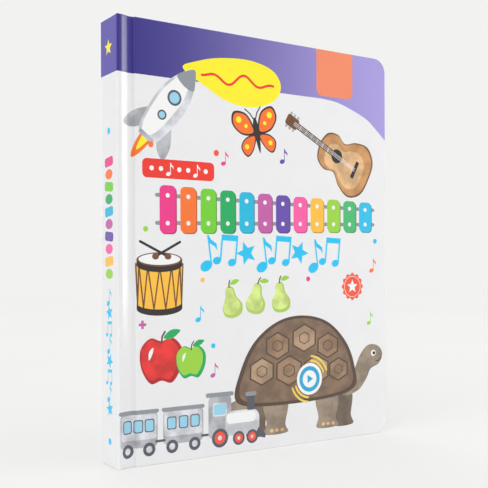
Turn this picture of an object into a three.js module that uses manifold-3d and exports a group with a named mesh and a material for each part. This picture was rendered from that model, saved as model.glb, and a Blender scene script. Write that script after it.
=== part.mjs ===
// A children's sound book that stands closed and upright on its bottom edges.
// A case of three wrapped boards holds a block of card pages, and a sound module
// is let into the thick back cover. Millimetres, +Z up, spine towards -X, front
// cover facing -Y. Inside this file u is the distance from the spine's outer face
// towards the fore edge, y runs through the thickness and z is the height.

import * as THREE from 'three';
import { mergeVertices } from 'three/addons/utils/BufferGeometryUtils.js';
import Module from 'manifold-3d';

const wasm = await Module();
wasm.setup();

// Case
const bookHeight = 285;
const bookWidth = 225;
const cornerRadius = 10.5;
const boardThickness = 2.4;
const wrapThickness = 0.4;
const liningThickness = 0.4;
const turnIn = 15;
const spineProud = 1.1;
const spineFillet = 1.2;
const jointWidth = 12.7;
const grooveDepth = 1.25;
const lipRound = 0.9;
const hingeLine = 7;

// Where the joint passes its shoulder, its slope and its lowest line, as shares of its
// width, and the first two also as shares of the spine's rise and the groove's depth
const shoulder = [0.3, 0.45];
const slope = [0.5, 0.35];
const grooveShare = 0.76;

// Pages and guard strip
const pageBlockThickness = 5.5;
const pageInset = 3;
const looseGap = 0.3;
const seatGap = 0.3;

// Sound module
const batteryDiameter = 10.5;
const batteryLength = 44.5;
const batteryNub = 0.8;
const batteryNubRadius = 1.9;
const batteryPitch = 11;
const springLength = 4.6;
const springWire = 0.7;
const contactThickness = 0.4;
const contactWidth = 8;
const membraneThickness = 0.4;
const moduleBottom = 30;
const bayMargin = 4;
const bayStart = 9;
const speakerGap = 10.2;
const speakerMargin = 13;
const controlMargin = 3.5;
const circuitGap = 0.5;
const baseThickness = 1;
const doorThickness = 1.1;
const doorEar = 9;
const facePlate = 1.6;
const housingWall = 1.5;
const bayWall = 1.2;
const bezelLip = 2.5;
const bezelProud = 0.5;
const lipThickness = 1;
const speakerRadius = 20;
const speakerDepth = 6;
const gasketThickness = 0.8;
const buttonRadius = 4;
const buttonTravel = 0.8;
const buttonProud = 0.6;
const switchTravel = 4;
const knobLength = 5;
const knobWidth = 3;
const circuitThickness = 1.2;
const circuitHeight = 16;
const circuitDrop = 8.1;
const postRadius = 2.6;
const postInset = 5;
const switchPlace = 28;
const buttonPlace = 46;
const buttonPitch = 18;
const tailPlace = 24;
const screwRadius = 1;
const wireRadius = 0.6;

// Layers through the thickness, from the front cover's face to the back cover's
const moduleDepth = baseThickness + batteryDiameter + 2 * looseGap + doorThickness - bezelProud;
const carrierThickness = moduleDepth - boardThickness - wrapThickness;
const frontStack = wrapThickness + boardThickness + liningThickness;
const backStack = liningThickness + membraneThickness + moduleDepth;
const coversThickness = frontStack + looseGap + pageBlockThickness + looseGap + backStack;
const frontFace = -coversThickness / 2;
const frontBoardFace = frontFace + wrapThickness;
const frontBoardBack = frontBoardFace + boardThickness;
const frontInside = frontBoardBack + liningThickness;
const pageFront = frontInside + looseGap;
const pageBack = pageFront + pageBlockThickness;
const backInside = pageBack + looseGap;
const membraneFace = backInside + liningThickness;
const carrierFace = membraneFace + membraneThickness;
const backBoardBack = carrierFace + carrierThickness;
const backBoardFace = backBoardBack + boardThickness;
const backFace = backBoardFace + wrapThickness;
const housingFace = backFace + bezelProud;

// Places along the width
const boardStart = jointWidth + lipRound + wrapThickness;
const spineInside = wrapThickness + boardThickness + liningThickness;
const spineBoardHalf = coversThickness / 2 + spineProud - wrapThickness - spineFillet;
const pageEnd = bookWidth - pageInset;
const pageTop = bookHeight - pageInset;
const pageCorner = cornerRadius - pageInset;

// Colours by material
const finish = {
  print: [0xe9e9ee, 0.35, 0],
  purplePrint: [0x6f6abb, 0.35, 0],
  greyboard: [0xa39d92, 0.9, 0],
  paper: [0xf2f0ea, 0.8, 0],
  foamBoard: [0xe6e4de, 0.85, 0],
  film: [0xd9b65c, 0.4, 0],
  whitePlastic: [0xf0f0ee, 0.45, 0],
  bluePlastic: [0x2f9fd0, 0.4, 0],
  orangePlastic: [0xf08a4a, 0.4, 0],
  blackPlastic: [0x202022, 0.5, 0],
  circuit: [0x2f6d3c, 0.5, 0],
  steel: [0xb9bbbe, 0.35, 1],
  battery: [0x3a3f4a, 0.4, 0.4],
  foam: [0x2b2b2d, 0.95, 0],
  cone: [0x3a352f, 0.8, 0],
  redWire: [0xc23a30, 0.5, 0],
  blackWire: [0x1c1c1e, 0.5, 0],
};

// The book's own group shifts the spine's face to the left end of the width.
const book = new THREE.Group();
book.position.x = -bookWidth / 2;
const part = new THREE.Group();
part.add(book);

function addPiece(name, solid, look) {
  const [color, roughness, metalness] = finish[look];
  const material = new THREE.MeshStandardMaterial({ color, roughness, metalness });
  const mesh = new THREE.Mesh(geometryOf(solid), material);
  mesh.name = name;
  book.add(mesh);
}

// Solids. Corners sit on a fine grid, so that faces which meet share one plane.
const gridStep = 0.001;

function solidOf(geometry) {
  const bare = geometry.clone();
  bare.deleteAttribute('normal');
  bare.deleteAttribute('uv');
  const merged = mergeVertices(bare, gridStep / 10);
  const vertProperties = Float32Array.from(
    merged.attributes.position.array,
    (value) => Math.round(value / gridStep) * gridStep,
  );
  const triVerts = Uint32Array.from(merged.index.array);
  const solid = new wasm.Manifold(new wasm.Mesh({ numProp: 3, vertProperties, triVerts }));
  if (solid.volume() >= 0) return solid;
  for (let i = 0; i < triVerts.length; i += 3) {
    [triVerts[i], triVerts[i + 1]] = [triVerts[i + 1], triVerts[i]];
  }
  return new wasm.Manifold(new wasm.Mesh({ numProp: 3, vertProperties, triVerts }));
}

function geometryOf(solid) {
  const mesh = solid.getMesh();
  const geometry = new THREE.BufferGeometry();
  geometry.setAttribute('position', new THREE.BufferAttribute(mesh.vertProperties, 3));
  geometry.setIndex(new THREE.BufferAttribute(mesh.triVerts, 1));
  geometry.computeVertexNormals();
  return geometry;
}

const join = (first, ...others) => others.reduce((sum, other) => sum.add(other), first);
const cut = (first, ...others) => others.reduce((rest, other) => rest.subtract(other), first);

// A plan in (u, y) raised from z0 to z1.
function raise(shape, z0, z1) {
  const geometry = new THREE.ExtrudeGeometry(shape, { depth: z1 - z0, bevelEnabled: false });
  return solidOf(geometry.translate(0, 0, z0));
}

// An outline in (u, z) given thickness from y0 to y1.
function thicken(shape, y0, y1, curveSegments = 5) {
  const options = { depth: y1 - y0, bevelEnabled: false, curveSegments };
  const geometry = new THREE.ExtrudeGeometry(shape, options);
  return solidOf(geometry.rotateX(Math.PI / 2).translate(0, y1, 0));
}

function block(u0, u1, y0, y1, z0, z1) {
  return thicken(outline(u0, u1, z0, z1), y0, y1);
}

// A rectangle with a radius at its fore-edge corners and another at its spine corners.
function outline(u0, u1, z0, z1, foreRadius = 0, spineRadius = 0) {
  const shape = new THREE.Shape();
  const [a, b] = [spineRadius, foreRadius];
  const quarter = Math.PI / 2;
  shape.moveTo(u0 + a, z0);
  shape.lineTo(u1 - b, z0);
  if (b > 0) shape.absarc(u1 - b, z0 + b, b, -quarter, 0, false);
  shape.lineTo(u1, z1 - b);
  if (b > 0) shape.absarc(u1 - b, z1 - b, b, 0, quarter, false);
  shape.lineTo(u0 + a, z1);
  if (a > 0) shape.absarc(u0 + a, z1 - a, a, quarter, 2 * quarter, false);
  shape.lineTo(u0, z0 + a);
  if (a > 0) shape.absarc(u0 + a, z0 + a, a, 2 * quarter, 3 * quarter, false);
  return shape;
}

function centredOutline(u, z, width, height, radius = 0) {
  return outline(u - width / 2, u + width / 2, z - height / 2, z + height / 2, radius, radius);
}

// A turned piece on an axis along y, from a profile of [radius, y] points.
function turned(profile, u, z, segments = 24) {
  const points = profile.map(([radius, y]) => new THREE.Vector2(radius, y));
  return solidOf(new THREE.LatheGeometry(points, segments).translate(u, 0, z));
}

function disc(u, z, radius, y0, y1, segments = 24) {
  return turned([[0, y0], [radius, y0], [radius, y1], [0, y1]], u, z, segments);
}

// A round wire along a curve through the given [u, y, z] points.
function wire(points, radius, steps, sides = 6) {
  const path = new THREE.CatmullRomCurve3(points.map((p) => new THREE.Vector3(...p)));
  return tube(path, radius, steps, sides);
}

function tube(path, radius, steps, sides) {
  const section = new THREE.Shape();
  for (let i = 0; i < sides; i += 1) {
    const angle = (2 * Math.PI * i) / sides;
    const [x, y] = [radius * Math.cos(angle), radius * Math.sin(angle)];
    if (i === 0) section.moveTo(x, y);
    else section.lineTo(x, y);
  }
  return solidOf(new THREE.ExtrudeGeometry(section, { extrudePath: path, steps, bevelEnabled: false }));
}

// The case's outer surface on one side, as (u, rise) points, where rise is measured
// outwards from that cover's face: a rounded spine corner, a slope down into the
// joint's groove, and the rounded lip of the cover board.
function jointProfile() {
  const corner = new THREE.QuadraticBezierCurve(
    new THREE.Vector2(0, spineProud - spineFillet),
    new THREE.Vector2(0, spineProud),
    new THREE.Vector2(spineFillet, spineProud),
  );
  const joint = new THREE.SplineCurve([
    new THREE.Vector2(spineFillet, spineProud),
    new THREE.Vector2(shoulder[0] * jointWidth, shoulder[1] * spineProud),
    new THREE.Vector2(slope[0] * jointWidth, -slope[1] * grooveDepth),
    new THREE.Vector2(grooveShare * jointWidth, -grooveDepth),
    new THREE.Vector2(jointWidth, -lipRound),
  ]);
  const lip = new THREE.QuadraticBezierCurve(
    new THREE.Vector2(jointWidth, -lipRound),
    new THREE.Vector2(jointWidth, 0),
    new THREE.Vector2(jointWidth + lipRound, 0),
  );
  return [...corner.getPoints(4), ...joint.getPoints(16).slice(1), ...lip.getPoints(4).slice(1)];
}

// The part of a line of points between two values of u, ends worked out exactly.
function between(points, u0, u1) {
  const at = (u) => {
    const i = points.findIndex((p) => p.x >= u);
    const [a, b] = [points[i - 1], points[i]];
    return a.clone().lerp(b, (u - a.x) / (b.x - a.x));
  };
  const inner = points.filter((p) => p.x > u0 && p.x < u1);
  const start = u0 > points[0].x ? [at(u0)] : [points[0]];
  const end = u1 < points[points.length - 1].x ? [at(u1)] : [points[points.length - 1]];
  return [...start, ...inner, ...end].filter((p, i, all) => i === 0 || p.distanceTo(all[i - 1]) > 0);
}

// The same line moved sideways, to its right, by a distance.
function beside(points, distance) {
  return points.map((p, i) => {
    const back = p.clone().sub(points[Math.max(i - 1, 0)]).normalize();
    const ahead = points[Math.min(i + 1, points.length - 1)].clone().sub(p).normalize();
    const along = back.add(ahead).normalize();
    return new THREE.Vector2(p.x + along.y * distance, p.y - along.x * distance);
  });
}

// side is -1 on the front cover and 1 on the back cover.
const toPlan = (side) => (p) => new THREE.Vector2(p.x, side * (coversThickness / 2 + p.y));

// Spine: board, lining and the printed wrap, which ends in each joint
const profile = jointProfile();

function spineWrap() {
  const arm = between(profile, 0, hingeLine);
  const armInside = beside(arm, wrapThickness);
  const outer = [...arm.map(toPlan(-1)).reverse(), ...arm.map(toPlan(1))];
  const inner = [...armInside.map(toPlan(-1)).reverse(), ...armInside.map(toPlan(1))];
  const skin = raise(new THREE.Shape([...outer, ...inner.reverse()]), 0, bookHeight);
  const root = wrapThickness / 2;
  const fold = (z0, z1, flap0, flap1) => join(
    block(root, spineInside, -spineBoardHalf, spineBoardHalf, z0, z1),
    block(wrapThickness + boardThickness, spineInside, -spineBoardHalf, spineBoardHalf, flap0, flap1),
  );
  return join(
    skin,
    fold(0, wrapThickness, 0, turnIn),
    fold(bookHeight - wrapThickness, bookHeight, bookHeight - turnIn, bookHeight),
  );
}

const boardGap = wrapThickness + seatGap;
addPiece('spine_wrap', spineWrap(), 'purplePrint');
addPiece('spine_board', block(
  wrapThickness, wrapThickness + boardThickness,
  -spineBoardHalf, spineBoardHalf, boardGap, bookHeight - boardGap,
), 'greyboard');
addPiece('spine_lining', block(
  wrapThickness + boardThickness, spineInside,
  -spineBoardHalf, spineBoardHalf, turnIn + seatGap, bookHeight - turnIn - seatGap,
), 'paper');

// Pages, one solid, and the guard strip that fills the spine behind them
const pageOutline = outline(spineInside, pageEnd, pageInset, pageTop, pageCorner);
const guardBack = backFace - grooveDepth - wrapThickness - seatGap;
addPiece('page_block', thicken(pageOutline, pageFront, pageBack), 'paper');
addPiece('guard_strip', block(
  spineInside, jointWidth, pageBack, guardBack, pageInset, pageTop,
), 'greyboard');

// A cover's wrap: the face with its joint, the edges and the turned-in margins
function coverWrap(side) {
  const face = (depth) => side * (coversThickness / 2 - depth);
  const slab = (shape, depth0, depth1) => {
    const [y0, y1] = [face(depth0), face(depth1)].sort((a, b) => a - b);
    return thicken(shape, y0, y1);
  };
  const joint = between(profile, hingeLine + seatGap, jointWidth + lipRound);
  const outer = [...joint, new THREE.Vector2(bookWidth, 0)];
  const inner = [...beside(joint, wrapThickness), new THREE.Vector2(bookWidth, -wrapThickness)];
  const section = new THREE.Shape([...outer, ...inner.reverse()].map(toPlan(side)));
  const plan = outline(0, bookWidth, 0, bookHeight, cornerRadius);
  const skin = raise(section, 0, bookHeight).intersect(slab(plan, -spineProud, coversThickness / 2));
  const depth = wrapThickness + boardThickness;
  const rimOutline = outline(boardStart, bookWidth, 0, bookHeight, cornerRadius);
  const rim = slab(rimOutline, wrapThickness / 2, depth);
  const [inset, far] = [bookWidth - wrapThickness, boardStart - 1];
  const hollow = outline(
    far, inset, wrapThickness, bookHeight - wrapThickness, cornerRadius - wrapThickness,
  );
  const open = outline(far, bookWidth - turnIn, turnIn, bookHeight - turnIn);
  return join(skin, cut(
    rim,
    slab(hollow, 0, depth - wrapThickness),
    slab(open, 0, depth + 1),
  ));
}

// A cover board, with a pressed margin on its inside that the turned-in wrap fills
function coverBoard(y0, y1, inside) {
  const round = cornerRadius - boardGap;
  const whole = outline(boardStart, bookWidth - boardGap, boardGap, bookHeight - boardGap, round);
  const board = thicken(whole, y0, y1);
  const kept = outline(
    boardStart - 1, bookWidth - turnIn - seatGap, turnIn + seatGap, bookHeight - turnIn - seatGap,
  );
  const [press0, press1] = inside > 0 ? [y1 - wrapThickness, y1] : [y0, y0 + wrapThickness];
  const margin = cut(thicken(whole, press0, press1), thicken(kept, press0, press1));
  return cut(board, margin);
}

const liningOutline = outline(boardStart, pageEnd, pageInset, pageTop, pageCorner);

addPiece('front_wrap', coverWrap(-1), 'print');
addPiece('front_board', coverBoard(frontBoardFace, frontBoardBack, 1), 'greyboard');
addPiece('front_pastedown', thicken(liningOutline, frontBoardBack, frontInside), 'paper');

// The module's own size follows from what it holds: the bay and the speaker side by
// side, and the circuit board above them.
const bayLength = batteryLength + springLength + 2 * contactThickness + 3 * looseGap;
const bayHeight = 2 * batteryPitch + batteryDiameter + 2 * looseGap;
const contentHeight = Math.max(bayHeight, 2 * speakerRadius);
const moduleWidth = bayStart + bayLength + doorEar + speakerGap + 2 * speakerRadius + speakerMargin;
const moduleHeight = bayMargin + contentHeight + circuitGap + circuitHeight + controlMargin;

// The back cover, with the module's window through its wrap, board and carrier
const moduleU = (boardStart + bookWidth) / 2;
const moduleZ = moduleBottom + moduleHeight / 2;
const moduleStart = moduleU - moduleWidth / 2;
const moduleEnd = moduleU + moduleWidth / 2;
const windowOutline = centredOutline(moduleU, moduleZ, moduleWidth, moduleHeight, 3);
const windowCut = thicken(windowOutline, carrierFace - 1, housingFace + 1);

// The housing's lip, which the back board holds down in a rebate of the carrier
function lipOutline(gap) {
  const reach = 2 * (bezelLip + gap);
  return centredOutline(moduleU, moduleZ, moduleWidth + reach, moduleHeight + reach, 5 + gap);
}

addPiece('back_wrap', cut(coverWrap(1), windowCut), 'print');
addPiece('back_board', cut(coverBoard(backBoardBack, backBoardFace, -1), windowCut), 'greyboard');
const rebate = thicken(lipOutline(seatGap), backBoardBack - lipThickness, backBoardBack + 1);
const carrier = thicken(liningOutline, carrierFace, backBoardBack);
addPiece('module_carrier', cut(carrier, windowCut, rebate), 'foamBoard');
addPiece('touch_membrane', thicken(liningOutline, membraneFace, carrierFace), 'film');
addPiece('back_lining', thicken(liningOutline, backInside, membraneFace), 'paper');

// Battery bay, at the module's lower spine corner
const bayU0 = moduleStart + bayStart;
const bayU1 = bayU0 + bayLength;
const bayZ0 = moduleBottom + bayMargin;
const bayZ1 = bayZ0 + bayHeight;
const baseInside = carrierFace + baseThickness;
const doorInside = housingFace - doorThickness;
const plateInside = housingFace - facePlate;
const batteryY = baseInside + looseGap + batteryDiameter / 2;
const batteryZ = (i) => bayZ0 + looseGap + batteryDiameter / 2 + i * batteryPitch;

const doorOutline = outline(bayU0 - 1, bayU1 + doorEar, bayZ0 - 0.8, bayZ1 + 0.8, 2, 2);
const doorScrewU = bayU1 + doorEar / 2 + 0.5;
const doorScrewZ = (bayZ0 + bayZ1) / 2;
const screwHead = 2.2;
const screwHeadHeight = 0.9;
const counterbore = 0.6;

// Places of the speaker, switch, buttons and posts on the module's face
const speakerU = moduleEnd - speakerMargin - speakerRadius;
const speakerZ = moduleBottom + bayMargin + speakerRadius;
const controlZ = moduleBottom + moduleHeight - controlMargin - circuitHeight / 2;
const switchU = moduleStart + switchPlace;
const buttonU = [moduleEnd - buttonPlace - buttonPitch, moduleEnd - buttonPlace];
const buttonHole = buttonRadius + seatGap;
const posts = [[-1, -1], [1, -1], [1, 1], [-1, 1]].map(([i, j]) => [
  moduleU + i * (moduleWidth / 2 - postInset), moduleZ + j * (moduleHeight / 2 - postInset),
]);
const postHole = screwRadius + 0.25;
const screwLength = 8;
const switchSlot = knobLength + switchTravel + 2 * seatGap;

function housing() {
  const width = moduleWidth - 2 * seatGap;
  const height = moduleHeight - 2 * seatGap;
  const body = thicken(centredOutline(moduleU, moduleZ, width, height, 3), baseInside, housingFace);
  const inside = thicken(
    centredOutline(moduleU, moduleZ, width - 2 * housingWall, height - 2 * housingWall, 2),
    baseInside - 1, plateInside,
  );
  const lip = thicken(lipOutline(0), backBoardBack - lipThickness, backBoardBack);
  const bayRing = cut(
    block(bayU0 - bayWall, bayU1 + bayWall, baseInside, doorInside, bayZ0 - bayWall, bayZ1 + bayWall),
    block(bayU0, bayU1, baseInside - 1, doorInside + 1, bayZ0, bayZ1),
    wireNotch(bayU0 + 6, bayZ1),
    wireNotch(bayU1 - 6, bayZ1),
  );
  const doorGap = outline(
    bayU0 - 1 - seatGap, bayU1 + doorEar + seatGap,
    bayZ0 - 0.8 - seatGap, bayZ1 + 0.8 + seatGap, 2 + seatGap, 2 + seatGap,
  );
  const access = block(bayU0 + 0.8, bayU1 - 0.8, baseInside, housingFace + 1, bayZ0 + 0.8, bayZ1 - 0.8);
  const bosses = [...posts, [doorScrewU, doorScrewZ]].map(
    ([u, z]) => disc(u, z, postRadius, baseInside + seatGap, doorInside, 12),
  );
  const bores = [
    ...posts.map(([u, z]) => disc(u, z, postHole, baseInside - 1, baseInside + screwLength + 1, 8)),
    disc(doorScrewU, doorScrewZ, postHole, doorInside - screwLength - 1, doorInside + 1, 8),
  ];
  const shell = cut(join(body, lip), inside);
  const rest = cut(join(shell, bayRing, ...bosses), ...bores);
  const knobSlot = centredOutline(switchU, controlZ, switchSlot, knobWidth + 2 * seatGap, 1);
  return cut(
    rest,
    thicken(doorGap, doorInside, housingFace + 1),
    access,
    ...grille(),
    thicken(knobSlot, plateInside - 1, housingFace + 1),
    ...buttonU.map((u) => disc(u, controlZ, buttonHole, plateInside - 1, housingFace + 1)),
  );
}

// Where a wire passes under the battery bay's upper wall
function wireNotch(u, z) {
  return block(u - 1, u + 1, baseInside - 1, baseInside + 2, z - 1, z + bayWall + 1);
}

// Round-ended slots over the speaker, each as long as the circle allows
function grille() {
  const [slotWidth, slotPitch, grilleRadius] = [1.8, 3.8, 16.5];
  const rows = Math.floor(grilleRadius / slotPitch);
  const slots = [];
  for (let row = -rows; row <= rows; row += 1) {
    const across = row * slotPitch;
    const length = 2 * Math.sqrt(grilleRadius ** 2 - across ** 2);
    const slot = centredOutline(speakerU, speakerZ + across, length, slotWidth, slotWidth / 2 - 0.01);
    slots.push(thicken(slot, plateInside - 1, housingFace + 1, 2));
  }
  return slots;
}

addPiece('module_housing', housing(), 'whitePlastic');

// Base plate of the module, with standoffs for the circuit board
const circuitFace = housingFace - circuitDrop;
const circuitBack = circuitFace - circuitThickness;
const circuitLength = moduleWidth - 2 * (postInset + postRadius + 1);
const standoffs = [-1, 1].map((i) => [moduleU + i * (circuitLength / 2 - 4), controlZ - 3]);
const tailU = moduleEnd - tailPlace;

function moduleBase() {
  const width = moduleWidth - 2 * seatGap;
  const height = moduleHeight - 2 * seatGap;
  const plate = thicken(centredOutline(moduleU, moduleZ, width, height, 3), carrierFace, baseInside);
  const stands = standoffs.map(([u, z]) => disc(u, z, postRadius, baseInside - 0.5, circuitBack, 12));
  const holes = [
    ...posts.map(([u, z]) => disc(u, z, postHole, carrierFace - 1, baseInside + 1, 8)),
    ...posts.map(([u, z]) => disc(u, z, screwHead + seatGap, carrierFace - 1, baseInside - 0.5, 12)),
    ...standoffs.map(([u, z]) => disc(u, z, postHole, baseInside, circuitBack + 1, 8)),
    block(tailU - 6, tailU + 6, carrierFace - 1, baseInside + 1, controlZ - 1, controlZ + 1),
  ];
  return cut(join(plate, ...stands), ...holes);
}

addPiece('module_base', moduleBase(), 'whitePlastic');

// A cross-head screw. facing is the direction that its head looks along y.
function screw(u, z, seat, facing, length, headHeight = screwHeadHeight, headRadius = screwHead) {
  const [tip, top] = [seat - facing * length, seat + facing * headHeight];
  const body = turned([
    [0, tip], [screwRadius * 0.5, tip], [screwRadius, tip + facing * screwRadius],
    [screwRadius, seat], [headRadius, seat], [headRadius, top - facing * headHeight / 3],
    [headRadius * 0.8, top], [0, top],
  ], u, z, 12);
  const [arm, slot] = [headRadius * 0.6, 0.25];
  const [y0, y1] = [top - facing * headHeight / 2, top + facing].sort((a, b) => a - b);
  return cut(
    body,
    block(u - arm, u + arm, y0, y1, z - slot, z + slot),
    block(u - slot, u + slot, y0, y1, z - arm, z + arm),
  );
}

posts.forEach(([u, z], i) => {
  addPiece(`housing_screw_${i + 1}`, screw(u, z, baseInside - 0.5, -1, screwLength, 0.4), 'steel');
});

// Battery door, its screw, and the lugs that locate it between the batteries
function batteryDoor() {
  const lugs = [0.5, 1.5].map((i) => block(
    bayU0 + 0.8 + seatGap, bayU0 + 2.3, doorInside - 1.2, doorInside + 0.2,
    batteryZ(i) - 1.2, batteryZ(i) + 1.2,
  ));
  const ridges = [];
  for (let i = 0; i < 4; i += 1) {
    const u = bayU0 + 4 + 2 * i;
    ridges.push(block(u, u + 0.8, housingFace - 0.3, housingFace + 1, doorScrewZ - 7, doorScrewZ + 7));
  }
  return cut(
    join(thicken(doorOutline, doorInside, housingFace), ...lugs),
    disc(doorScrewU, doorScrewZ, postHole + 0.2, doorInside - 1, housingFace + 1, 16),
    disc(doorScrewU, doorScrewZ, screwHead + seatGap, housingFace - counterbore, housingFace + 1),
    ...ridges,
  );
}

addPiece('battery_door', batteryDoor(), 'whitePlastic');
addPiece('door_screw', screw(doorScrewU, doorScrewZ, housingFace - counterbore, 1, screwLength), 'steel');

// Batteries in series, their contact plates and springs. The first and third point
// their nub to the fore edge, the middle one to the spine.
const nubToFore = [true, false, true];

function battery(i) {
  const radius = batteryDiameter / 2;
  const body = batteryLength - batteryNub;
  const points = [
    [0, 0], [radius - 0.5, 0], [radius, 0.5], [radius, body - 0.5], [radius - 0.5, body],
    [batteryNubRadius, body], [batteryNubRadius, batteryLength], [0, batteryLength],
  ].map(([r, y]) => new THREE.Vector2(r, y));
  const geometry = new THREE.LatheGeometry(points, 20).rotateZ(-Math.PI / 2);
  const springSide = contactThickness + springLength + 2 * looseGap;
  if (nubToFore[i]) geometry.translate(bayU0 + springSide, batteryY, batteryZ(i));
  else geometry.rotateZ(Math.PI).translate(bayU1 - springSide, batteryY, batteryZ(i));
  return solidOf(geometry);
}

class SpringLine extends THREE.Curve {
  constructor(start, direction, z) {
    super();
    this.start = start;
    this.direction = direction;
    this.z = z;
  }

  getPoint(t) {
    const turns = 4;
    const angle = 2 * Math.PI * turns * t;
    const radius = 3.2 - 1.1 * t;
    const along = springWire / 2 + (springLength - springWire) * t;
    return new THREE.Vector3(
      this.start + this.direction * along,
      batteryY + radius * Math.cos(angle),
      this.z + radius * Math.sin(angle),
    );
  }
}

function contactSpring(i) {
  const line = nubToFore[i]
    ? new SpringLine(bayU0 + contactThickness + looseGap, 1, batteryZ(i))
    : new SpringLine(bayU1 - contactThickness - looseGap, -1, batteryZ(i));
  return tube(line, springWire / 2, 36, 5);
}

// A contact plate on one end wall, across the batteries from first to last
function contactPlate(atFore, first, last) {
  const u0 = atFore ? bayU1 - contactThickness : bayU0;
  return block(
    u0, u0 + contactThickness, baseInside + 0.5, plateInside - 1,
    batteryZ(first) - contactWidth / 2, batteryZ(last) + contactWidth / 2,
  );
}

nubToFore.forEach((_, i) => {
  addPiece(`battery_${i + 1}`, battery(i), 'battery');
  addPiece(`contact_spring_${i + 1}`, contactSpring(i), 'steel');
});
addPiece('contact_negative', contactPlate(false, 0, 0), 'steel');
addPiece('contact_link_fore', contactPlate(true, 0, 1), 'steel');
addPiece('contact_link_spine', contactPlate(false, 1, 2), 'steel');
addPiece('contact_positive', contactPlate(true, 2, 2), 'steel');

// Circuit board with its sound chip, connector and screws
const circuitOutline = centredOutline(moduleU, controlZ, circuitLength, circuitHeight, 1);
addPiece('circuit_board', cut(
  thicken(circuitOutline, circuitBack, circuitFace),
  ...standoffs.map(([u, z]) => disc(u, z, postHole, circuitBack - 1, circuitFace + 1, 8)),
), 'circuit');
standoffs.forEach(([u, z], i) => {
  addPiece(`board_screw_${i + 1}`, screw(u, z, circuitFace, 1, 3), 'steel');
});
addPiece('sound_chip', turned([
  [0, circuitFace], [4.5, circuitFace], [4, circuitFace + 0.9], [2.4, circuitFace + 1.5],
  [0, circuitFace + 1.7],
], (switchU + buttonU[0]) / 2, controlZ, 16), 'blackPlastic');
addPiece('tail_connector', block(
  tailU - 6.5, tailU + 6.5, circuitBack - 1.5, circuitBack, controlZ - 1.5, controlZ + 1.5,
), 'blackPlastic');
addPiece('membrane_tail', block(
  tailU - 5, tailU + 5, carrierFace, circuitBack - 1.5, controlZ - 0.2, controlZ + 0.2,
), 'film');

// Speaker: foam gasket, basket, cone and magnet
const gasketBack = plateInside - gasketThickness;
const basketBack = gasketBack - speakerDepth;
const magnetRadius = 9;
addPiece('speaker_gasket', turned([
  [speakerRadius - 2.5, gasketBack], [speakerRadius, gasketBack], [speakerRadius, plateInside],
  [speakerRadius - 2.5, plateInside], [speakerRadius - 2.5, gasketBack],
], speakerU, speakerZ, 32), 'foam');
addPiece('speaker_basket', turned([
  [0, basketBack], [magnetRadius + 2, basketBack], [speakerRadius - 2.5, gasketBack - 1],
  [speakerRadius, gasketBack - 1], [speakerRadius, gasketBack], [speakerRadius - 3, gasketBack],
  [magnetRadius + 1.5, basketBack + 0.8], [0, basketBack + 0.8],
], speakerU, speakerZ, 32), 'steel');
addPiece('speaker_cone', turned([
  [0, basketBack + 1.4], [4.5, basketBack + 1.4], [speakerRadius - 5.2, gasketBack - 0.9],
  [speakerRadius - 4.2, gasketBack - 0.5], [speakerRadius - 5, gasketBack],
  [5, basketBack + 2.2], [3.5, basketBack + 3.2], [0, basketBack + 3.8],
], speakerU, speakerZ, 32), 'cone');
addPiece('speaker_magnet', disc(
  speakerU, speakerZ, magnetRadius, baseInside + seatGap, basketBack, 24,
), 'steel');

// Wires from the circuit board to the speaker and to the battery contacts
const wireStart = controlZ - circuitHeight / 2 + 2;
const wireY = circuitFace + wireRadius + 0.2;
['red', 'black'].forEach((colour, i) => {
  const u = speakerU - 12 + 4 * i;
  const endZ = speakerZ + Math.sqrt((speakerRadius - 1) ** 2 - (u + 1 - speakerU) ** 2);
  const overBasket = gasketBack - 1 - wireRadius - 0.4;
  addPiece(`speaker_wire_${colour}`, wire([
    [u, wireY, wireStart], [u, wireY, wireStart - 2.5], [u + 0.5, overBasket - 0.5, endZ + 3],
    [u + 1, overBasket, endZ],
  ], wireRadius, 14), `${colour}Wire`);
});
[['red', bayU1 - 6, bayU1 - 1.4, 2], ['black', bayU0 + 6, bayU0 + 1.4, 2]].forEach(
  ([colour, u, endU, cell]) => {
    const low = baseInside + wireRadius + 0.3;
    const endZ = batteryZ(cell) + contactWidth / 2 + 0.2;
    addPiece(`battery_wire_${colour}`, wire([
      [u, wireY, wireStart], [u, wireY, wireStart - 3], [u, low, bayZ1 + bayWall + 1],
      [u, low, bayZ1 - 0.5], [(u + endU) / 2, low, endZ], [endU, low + 0.4, endZ],
    ], wireRadius, 20), `${colour}Wire`);
  },
);

// Power switch: a knob that slides along its slot, and the switch body under it
const knobPlate = 0.8;
const knobTop = plateInside - seatGap;
const switchBodyTop = circuitFace + 3.6;
const knobU = switchU - switchTravel / 2;
const stemSide = 1.6;
const knobOutline = centredOutline(knobU, controlZ, knobLength, knobWidth, 0.8);
addPiece('power_knob', join(
  thicken(knobOutline, knobTop - 0.4, housingFace + buttonProud),
  block(knobU - 6, knobU + 6, knobTop - knobPlate, knobTop, controlZ - 3, controlZ + 3),
  block(
    knobU - stemSide / 2, knobU + stemSide / 2, switchBodyTop - 1.2, knobTop - knobPlate / 2,
    controlZ - stemSide / 2, controlZ + stemSide / 2,
  ),
), 'orangePlastic');
const stemRun = stemSide + switchTravel + 2 * seatGap;
addPiece('power_switch', cut(
  block(switchU - 5.5, switchU + 5.5, circuitFace, switchBodyTop, controlZ - 2.6, controlZ + 2.6),
  block(
    switchU - stemRun / 2, switchU + stemRun / 2, switchBodyTop - 1.6, switchBodyTop + 1,
    controlZ - stemSide / 2 - seatGap, controlZ + stemSide / 2 + seatGap,
  ),
), 'steel');

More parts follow.
